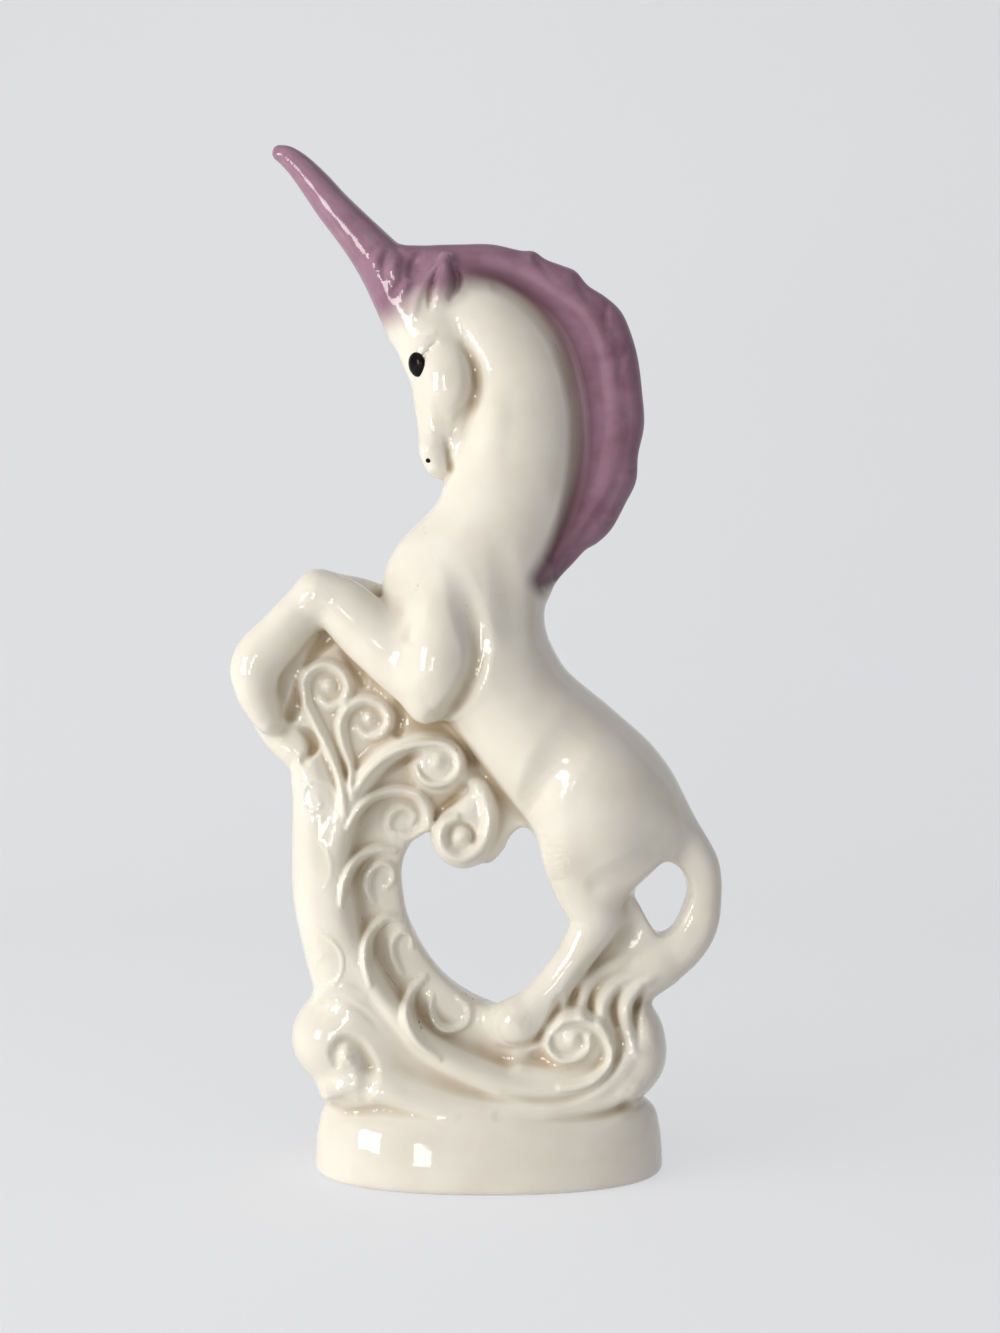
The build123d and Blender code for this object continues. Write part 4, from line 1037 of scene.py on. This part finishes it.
def makeGlaze(name, coat, coatRough):
    # slip-cast earthenware under a clear gloss glaze: soft underneath, mirror bright on top, and warmer and
    # darker in hollows, which is pooled glaze and painted shade in one. The sprayed mauve is darker there,
    # with painted shade along the root of the mane, lighter where the glaze is thin on the ridges, and
    # mottled by the brush
    made = newMaterial(name)
    tree = made.node_tree
    place = node(tree, "ShaderNodeTexCoord").outputs["Object"]
    pattern = {}
    for title in ("pooledGlazeAndShade", "paint", "root"):
        pattern[title] = node(tree, "ShaderNodeAttribute", {"attribute_name": title}).outputs["Fac"]
    for title, (size, detail) in glaze["noises"].items():
        facts = {"Scale": 1000 / size, "Detail": detail}
        pattern[title] = node(tree, "ShaderNodeTexNoise", facts, {"Vector": place}).outputs["Fac"]
    facts = {"Scale": [1000 / size for size in glaze["strokeSize"]], "Rotation": (0, glaze["strokeTurn"], 0)}
    along = node(tree, "ShaderNodeMapping", facts, {"Vector": place}).outputs["Vector"]
    facts = {"Scale": 1.0, "Detail": glaze["strokeDetail"]}
    pattern["stroke"] = node(tree, "ShaderNodeTexNoise", facts, {"Vector": along}).outputs["Fac"]
    share = {"shadedAtRoot": pattern["root"]}
    for title, (source, none, whole, most) in glaze["shares"].items():
        facts = {"From Min": none, "From Max": whole, "To Max": most}
        share[title] = node(tree, "ShaderNodeMapRange", facts, {"Value": pattern[source]}).outputs["Result"]
    facts = {"operation": "ADD", "use_clamp": True}
    # the cream, darkened by pooled glaze with painted shade in hollows and by random clouds
    pooledShadeAndCloud = node(tree, "ShaderNodeMath", facts, {0: share["pooledAndShaded"], 1: share["clouded"]}).outputs[0]
    facts = {**colours, 6: linear(glaze["cream"]), 7: linear(glaze["creamPooledAndShaded"])}
    cream = node(tree, "ShaderNodeMix", facts, {0: pooledShadeAndCloud}).outputs[2]
    # the mauve, darkened by pooled glaze with painted shade in hollows and by painted shade at the mane's
    # root, lighter where thin, and mottled
    under = {}
    for title, colour in (
        ("pooledAndShaded", "mauvePooledAndShaded"), ("thin", "mauveThin"), ("mottled", "mauveThin"),
        ("brushed", "mauveThin"), ("dappled", "mauveThin"), ("shadedAtRoot", "mauvePooledAndShaded"),
    ):
        facts = {**colours, 6: linear(glaze["mauve"]), 7: linear(glaze[colour])}
        mauve = node(tree, "ShaderNodeMix", facts, {0: share[title], **under}).outputs[2]
        under = {6: mauve}
    colour = node(tree, "ShaderNodeMix", colours, {0: pattern["paint"], 6: cream, 7: mauve}).outputs[2]
    facts = {"Strength": glaze["rippleStrength"], "Distance": glaze["rippleHeight"] / 1000}
    bump = node(tree, "ShaderNodeBump", facts, {"Height": pattern["ripple"]}).outputs["Normal"]
    facts = {"To Min": glaze["roughness"][0], "To Max": glaze["roughness"][1]}
    rough = node(tree, "ShaderNodeMapRange", facts, {"Value": pattern["speck"]}).outputs["Result"]
    facts = {"IOR": 1.45, "Specular IOR Level": 0.3}
    facts.update({"Coat Weight": coat, "Coat Roughness": coatRough, "Coat IOR": 1.5})
    links = {"Base Color": colour, "Roughness": rough, "Coat Normal": bump}
    shader = node(tree, "ShaderNodeBsdfPrincipled", facts, links).outputs[0]
    node(tree, "ShaderNodeOutputMaterial", {}, {"Surface": shader})
    return made


def makeBlackGlaze(blackest="#070506", dusty="#120E0E", cloudSize=1.667):
    # a drop of black glaze, thick and mirror smooth, so that it is dark but for one bright glint
    made = newMaterial("blackGlaze")
    tree = made.node_tree
    place = node(tree, "ShaderNodeTexCoord").outputs["Object"]
    facts = {"Scale": 1000 / cloudSize, "Detail": 2}
    cloud = node(tree, "ShaderNodeTexNoise", facts, {"Vector": place}).outputs["Fac"]
    facts = {**colours, 6: linear(blackest), 7: linear(dusty)}
    colour = node(tree, "ShaderNodeMix", facts, {0: cloud}).outputs[2]
    facts = {"Roughness": 0.3, "Specular IOR Level": 0.05}
    facts.update({"Coat Weight": 0.7, "Coat Roughness": 0.04, "Coat IOR": 1.25})
    shader = node(tree, "ShaderNodeBsdfPrincipled", facts, {"Base Color": colour}).outputs[0]
    node(tree, "ShaderNodeOutputMaterial", {}, {"Surface": shader})
    return made


clearGlaze = makeGlaze("clearGlaze", 1.0, 0.04)
sprayedGlaze = makeGlaze("sprayedMauveGlaze", 0.45, 0.32)
blackGlaze = makeBlackGlaze()


def addObject(name, mesh, material):
    made = bpy.data.objects.new(name, mesh)
    bpy.context.scene.collection.objects.link(made)
    mesh.materials.append(material)
    return made


def buildPiece(name):
    # the faces whose one side is this piece, wound so that they face out of it
    number = numberOf[name]
    corners, skins = [], []
    for around, la, lb, skin, axis in quads:
        forward, backward = la == number, lb == number
        # round the edge the four cells turn one way for the middle axis and the other for the rest
        turned = axis == 1
        corners += [around[forward][:, ::-1] if turned else around[forward]]
        corners += [around[backward] if turned else around[backward][:, ::-1]]
        skins += [skin[forward], skin[backward]]
    corners, skins = np.concatenate(corners), np.concatenate(skins)
    used, local = np.unique(corners.ravel(), return_inverse=True)
    mesh = bpy.data.meshes.new(name)
    here = points[used]
    mesh.vertices.add(len(used))
    mesh.vertices.foreach_set("co", (np.stack([here[:, 0], here[:, 2], here[:, 1]], 1) * 0.001).ravel())
    mesh.loops.add(len(local))
    mesh.loops.foreach_set("vertex_index", local.astype(np.int32).ravel())
    mesh.polygons.add(len(corners))
    mesh.polygons.foreach_set("loop_start", np.arange(0, len(local), 4, dtype=np.int32))
    mesh.polygons.foreach_set("loop_total", np.full(len(corners), 4, np.int32))
    mesh.polygons.foreach_set("use_smooth", np.ones(len(corners), bool))
    mesh.update(calc_edges=True)
    # at each point of the skin: the sprayed mauve, pooled glaze with painted shade in hollows, and the
    # painted shade at the mane's root
    for title, values in (("paint", paint), ("pooledGlazeAndShade", pooledGlazeAndShade), ("root", rootShade)):
        layer = mesh.attributes.new(title, "FLOAT", "POINT")
        layer.data.foreach_set("value", values[used].astype(np.float32))
    flat = np.zeros(len(corners) * 3, np.float32)
    mesh.polygons.foreach_get("normal", flat)
    flat = np.repeat(flat.reshape(-1, 3), 4, 0)
    soft = outward[used][local.ravel()][:, [0, 2, 1]]
    useSoft = np.repeat(skins, 4) & ((soft * flat).sum(1) > settling["creaseAgreement"])
    normals = np.where(useSoft[:, None], soft, flat)
    mesh.normals_split_custom_set(normals.tolist())
    return addObject(name, mesh, sprayedGlaze if name == "mane" else clearGlaze)


# The CAD nodes that each piece stands for
replaced = {
    "plinth": ["plinth"],
    "scrollRail": ["scroll_rail"],
    "scrollChannel": ["scroll_channel"],
    "outerBand": ["outer_band"],
    "footVolute": ["foot_volute"],
    "groundBed": ["ground_bed"],
    "rearLobe": ["rear_lobe"],
    "groundVolute": ["ground_volute"],
    "leafCurls": ["leaf_curls"],
    "topVolute": ["top_volute"],
    "pendant": ["pendant"],
    "fernPanel": ["fern_panel", "tall_curl", "short_curl"],
    "body": ["barrel", "hind_leg_near", "hind_leg_far"],
    "foreLegs": [
        "arm_near", "forearm_near", "cannon_near", "hoof_near",
        "arm_far", "forearm_far", "cannon_far", "hoof_far",
    ],
    "neck": ["neck"],
    "head": ["head"],
    "tail": ["tail", "tail_tuft"],
    "mane": ["mane"],
    "horn": ["horn"],
    "ears": ["ear_near", "ear_far", "forelock"],
}
triangles = 0
for name, nodes in replaced.items():
    piece = buildPiece(name)
    triangles += len(piece.data.polygons) * 2
    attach(piece, "root")
    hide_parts(*nodes)
    print(name, len(piece.data.polygons) * 2, "triangles")
print("all pieces,", triangles, "triangles")

# Eyes and nostrils: drops of black glaze that lie on the skin
drops = {
    "eye": {"spot": (417, 364), "wide": 3.9, "tall": 4.5, "proud": 1.9, "lean": -6},
    "nostril": {"spot": (428, 460), "wide": 1.0, "tall": 0.9, "proud": 0.35, "lean": 0},
    "rings": 25,
    "turns": 48,
    "facingStep": 2.4,  # millimetres each way, to find which way the skin faces
    "deepest": 30.0,
    "depths": 600,
}


def skinDepth(x, z):
    # where the near skin lies, from the first spot inside the clay on the line across at (x, z)
    depths = np.linspace(-drops["deepest"], 0, drops["depths"])
    column = np.stack([np.full(len(depths), x), np.full(len(depths), z), depths], 1)
    return float(depths[np.argmax(sample(clay, column) < 0)])


def dropSurface(spot, wide, tall, proud, lean, side):
    # an oval button: rings whose radius is the sine and whose lift is the cosine of the way from
    # its crown to its rim, laid on the skin and turned to face out of it. side -1 is the far side
    x = z = y = 0.0
    for _ in range(3):
        x, z = (float(v) for v in toMm(spot[0], spot[1], -y))
        y = skinDepth(x, z)
    centre = np.array([x, z, y])
    facing = slopeAt(centre[None], drops["facingStep"])[0]
    facing /= np.linalg.norm(facing)
    up = np.array([math.sin(math.radians(lean)), math.cos(math.radians(lean)), 0.0])
    up -= facing * (up @ facing)
    up /= np.linalg.norm(up)
    across = np.cross(up, facing)
    turns = np.linspace(0, 2 * math.pi, drops["turns"], endpoint=False)
    ring, turn = np.meshgrid(np.linspace(0, math.pi, drops["rings"]), turns, indexing="ij")
    surface = (
        centre
        + (wide * np.sin(ring) * np.cos(turn))[..., None] * across
        + (tall * np.sin(ring) * np.sin(turn))[..., None] * up
        + (proud * np.cos(ring))[..., None] * facing
    )
    return surface[:, :, [0, 2, 1]] * [1, side, 1] * 0.001


def closedGrid(surface):
    # faces between neighbouring rings, with a fan at each pole: a ring's corners are numbered in
    # turn after the crown's, and the last corner is the other pole
    rings, turns = surface.shape[:2]
    verts = np.concatenate([surface[:1, 0], surface[1:-1].reshape(-1, 3), surface[-1:, 0]])
    this = 1 + np.arange(rings - 2)[:, None] * turns + np.arange(turns)
    following = np.roll(this, -1, 1)
    crown = np.stack([np.zeros(turns, int), this[0], following[0]], 1)
    between = np.stack([this[:-1], this[1:], following[1:], following[:-1]], 2)
    rim = np.stack([following[-1], this[-1], np.full(turns, len(verts) - 1)], 1)
    return verts, crown.tolist() + between.reshape(-1, 4).tolist() + rim.tolist()


def addDrop(title, kind, side, nodes=()):
    verts, faces = closedGrid(dropSurface(side=side, **drops[kind]))
    mesh = bpy.data.meshes.new(title)
    mesh.from_pydata(verts.tolist(), [], faces)
    mesh.polygons.foreach_set("use_smooth", np.ones(len(faces), bool))
    made = addObject(title, mesh, blackGlaze)
    volume = sum(
        verts[f[0]].dot(np.cross(verts[f[i]], verts[f[i + 1]])) for f in faces for i in range(1, len(f) - 1)
    )
    if volume < 0:
        mesh.flip_normals()
    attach(made, "root")
    if nodes:
        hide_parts(*nodes)


addDrop("eyeNear", "eye", 1, ["eye_near"])
addDrop("eyeFar", "eye", -1, ["eye_far"])
addDrop("nostrilNear", "nostril", 1)
addDrop("nostrilFar", "nostril", -1)
print("eyes and nostrils laid on")

# Stage: a pale sweep of floor and backdrop, window light from the left
stage = {
    "floor": "#E6E4E0",
    "wall": "#ECEDF0",
    "glow": "#F1F2F5",
    "glowShare": 0.64,
    "radius": 0.9,  # metres, as are the next five
    "back": 0.5,
    "wide": 4.0,
    "front": -1.6,
    "top": 3.0,
    "grain": 0.333,
    "windowColour": "#FFFDF8",
    "aim": (0, 0, 0.2),
    "roomColour": "#EEF0F4",
    "roomStrength": 0.35,
}


def makeSweep():
    # a floor that turns up into a wall in a quarter circle, carried sideways
    bend = np.linspace(0, math.pi / 2, 16)
    radius, back = stage["radius"], stage["back"]
    y = np.concatenate([[stage["front"]], back + radius * np.sin(bend), [back + radius]])
    z = np.concatenate([[0], radius - radius * np.cos(bend), [stage["top"]]])
    verts = np.concatenate([np.stack([np.full(len(y), side * stage["wide"]), y, z], 1) for side in (-1, 1)])
    count = len(y)
    faces = [(i, i + count, i + count + 1, i + 1) for i in range(count - 1)]
    mesh = bpy.data.meshes.new("sweep")
    mesh.from_pydata(verts.tolist(), [], faces)
    mesh.polygons.foreach_set("use_smooth", np.ones(len(faces), bool))
    made = newMaterial("stagePaint")
    tree = made.node_tree
    place = node(tree, "ShaderNodeTexCoord").outputs["Object"]
    grain = node(tree, "ShaderNodeTexNoise", {"Scale": 1 / stage["grain"]}, {"Vector": place}).outputs["Fac"]
    facts = {**colours, 6: linear(stage["floor"]), 7: linear(stage["wall"])}
    colour = node(tree, "ShaderNodeMix", facts, {0: grain}).outputs[2]
    paper = node(tree, "ShaderNodeBsdfPrincipled", {"Roughness": 0.8}, {"Base Color": colour}).outputs[0]
    # what the lens sees of it, straight or in a shine, is partly its own even glow
    ray = node(tree, "ShaderNodeLightPath").outputs
    links = {0: ray["Is Camera Ray"], 1: ray["Is Glossy Ray"]}
    seen = node(tree, "ShaderNodeMath", {"operation": "ADD"}, links).outputs[0]
    facts = {"operation": "ADD", "use_clamp": True}
    seen = node(tree, "ShaderNodeMath", facts, {0: seen, 1: ray["Is Transmission Ray"]}).outputs[0]
    facts = {"operation": "MULTIPLY", 1: stage["glowShare"]}
    share = node(tree, "ShaderNodeMath", facts, {0: seen}).outputs[0]
    glow = node(tree, "ShaderNodeEmission", {"Color": linear(stage["glow"]), "Strength": 1.0}).outputs[0]
    both = node(tree, "ShaderNodeMixShader", {}, {0: share, 1: paper, 2: glow}).outputs[0]
    node(tree, "ShaderNodeOutputMaterial", {}, {"Surface": both})
    addObject("sweep", mesh, made)


makeSweep()


def addWindow(name, place, size, power, glossy=True):
    # a bright rectangle that faces the figurine
    lamp = bpy.data.lights.new(name, "AREA")
    lamp.shape = "RECTANGLE"
    lamp.size, lamp.size_y = size
    lamp.energy = power
    lamp.color = linear(stage["windowColour"])[:3]
    made = bpy.data.objects.new(name, lamp)
    made.location = place
    way = np.array(stage["aim"]) - np.array(place)
    tilt = math.pi / 2 + math.asin(way[2] / np.linalg.norm(way))
    made.rotation_euler = (tilt, 0, math.atan2(-way[0], way[1]))
    made.visible_glossy = glossy
    bpy.context.scene.collection.objects.link(made)


windows = {
    "left": {"place": (-0.88, -0.82, 0.30), "size": (0.32, 0.38), "power": 4.2},
    "right": {"place": (-0.40, -1.13, 0.22), "size": (0.14, 0.28), "power": 1.1},
    "side": {"place": (-1.25, -0.36, 0.40), "size": (0.80, 0.80), "power": 8.4, "glossy": False},
    "sky": {"place": (-0.3, -0.8, 1.5), "size": (1.6, 1.6), "power": 3.3},
}
for name, facts in windows.items():
    addWindow("window_" + name, **facts)

world = bpy.data.worlds.new("room")
bpy.context.scene.world = world
world.use_nodes = True
roomLight = world.node_tree.nodes["Background"]
roomLight.inputs["Color"].default_value = linear(stage["roomColour"])
roomLight.inputs["Strength"].default_value = stage["roomStrength"]
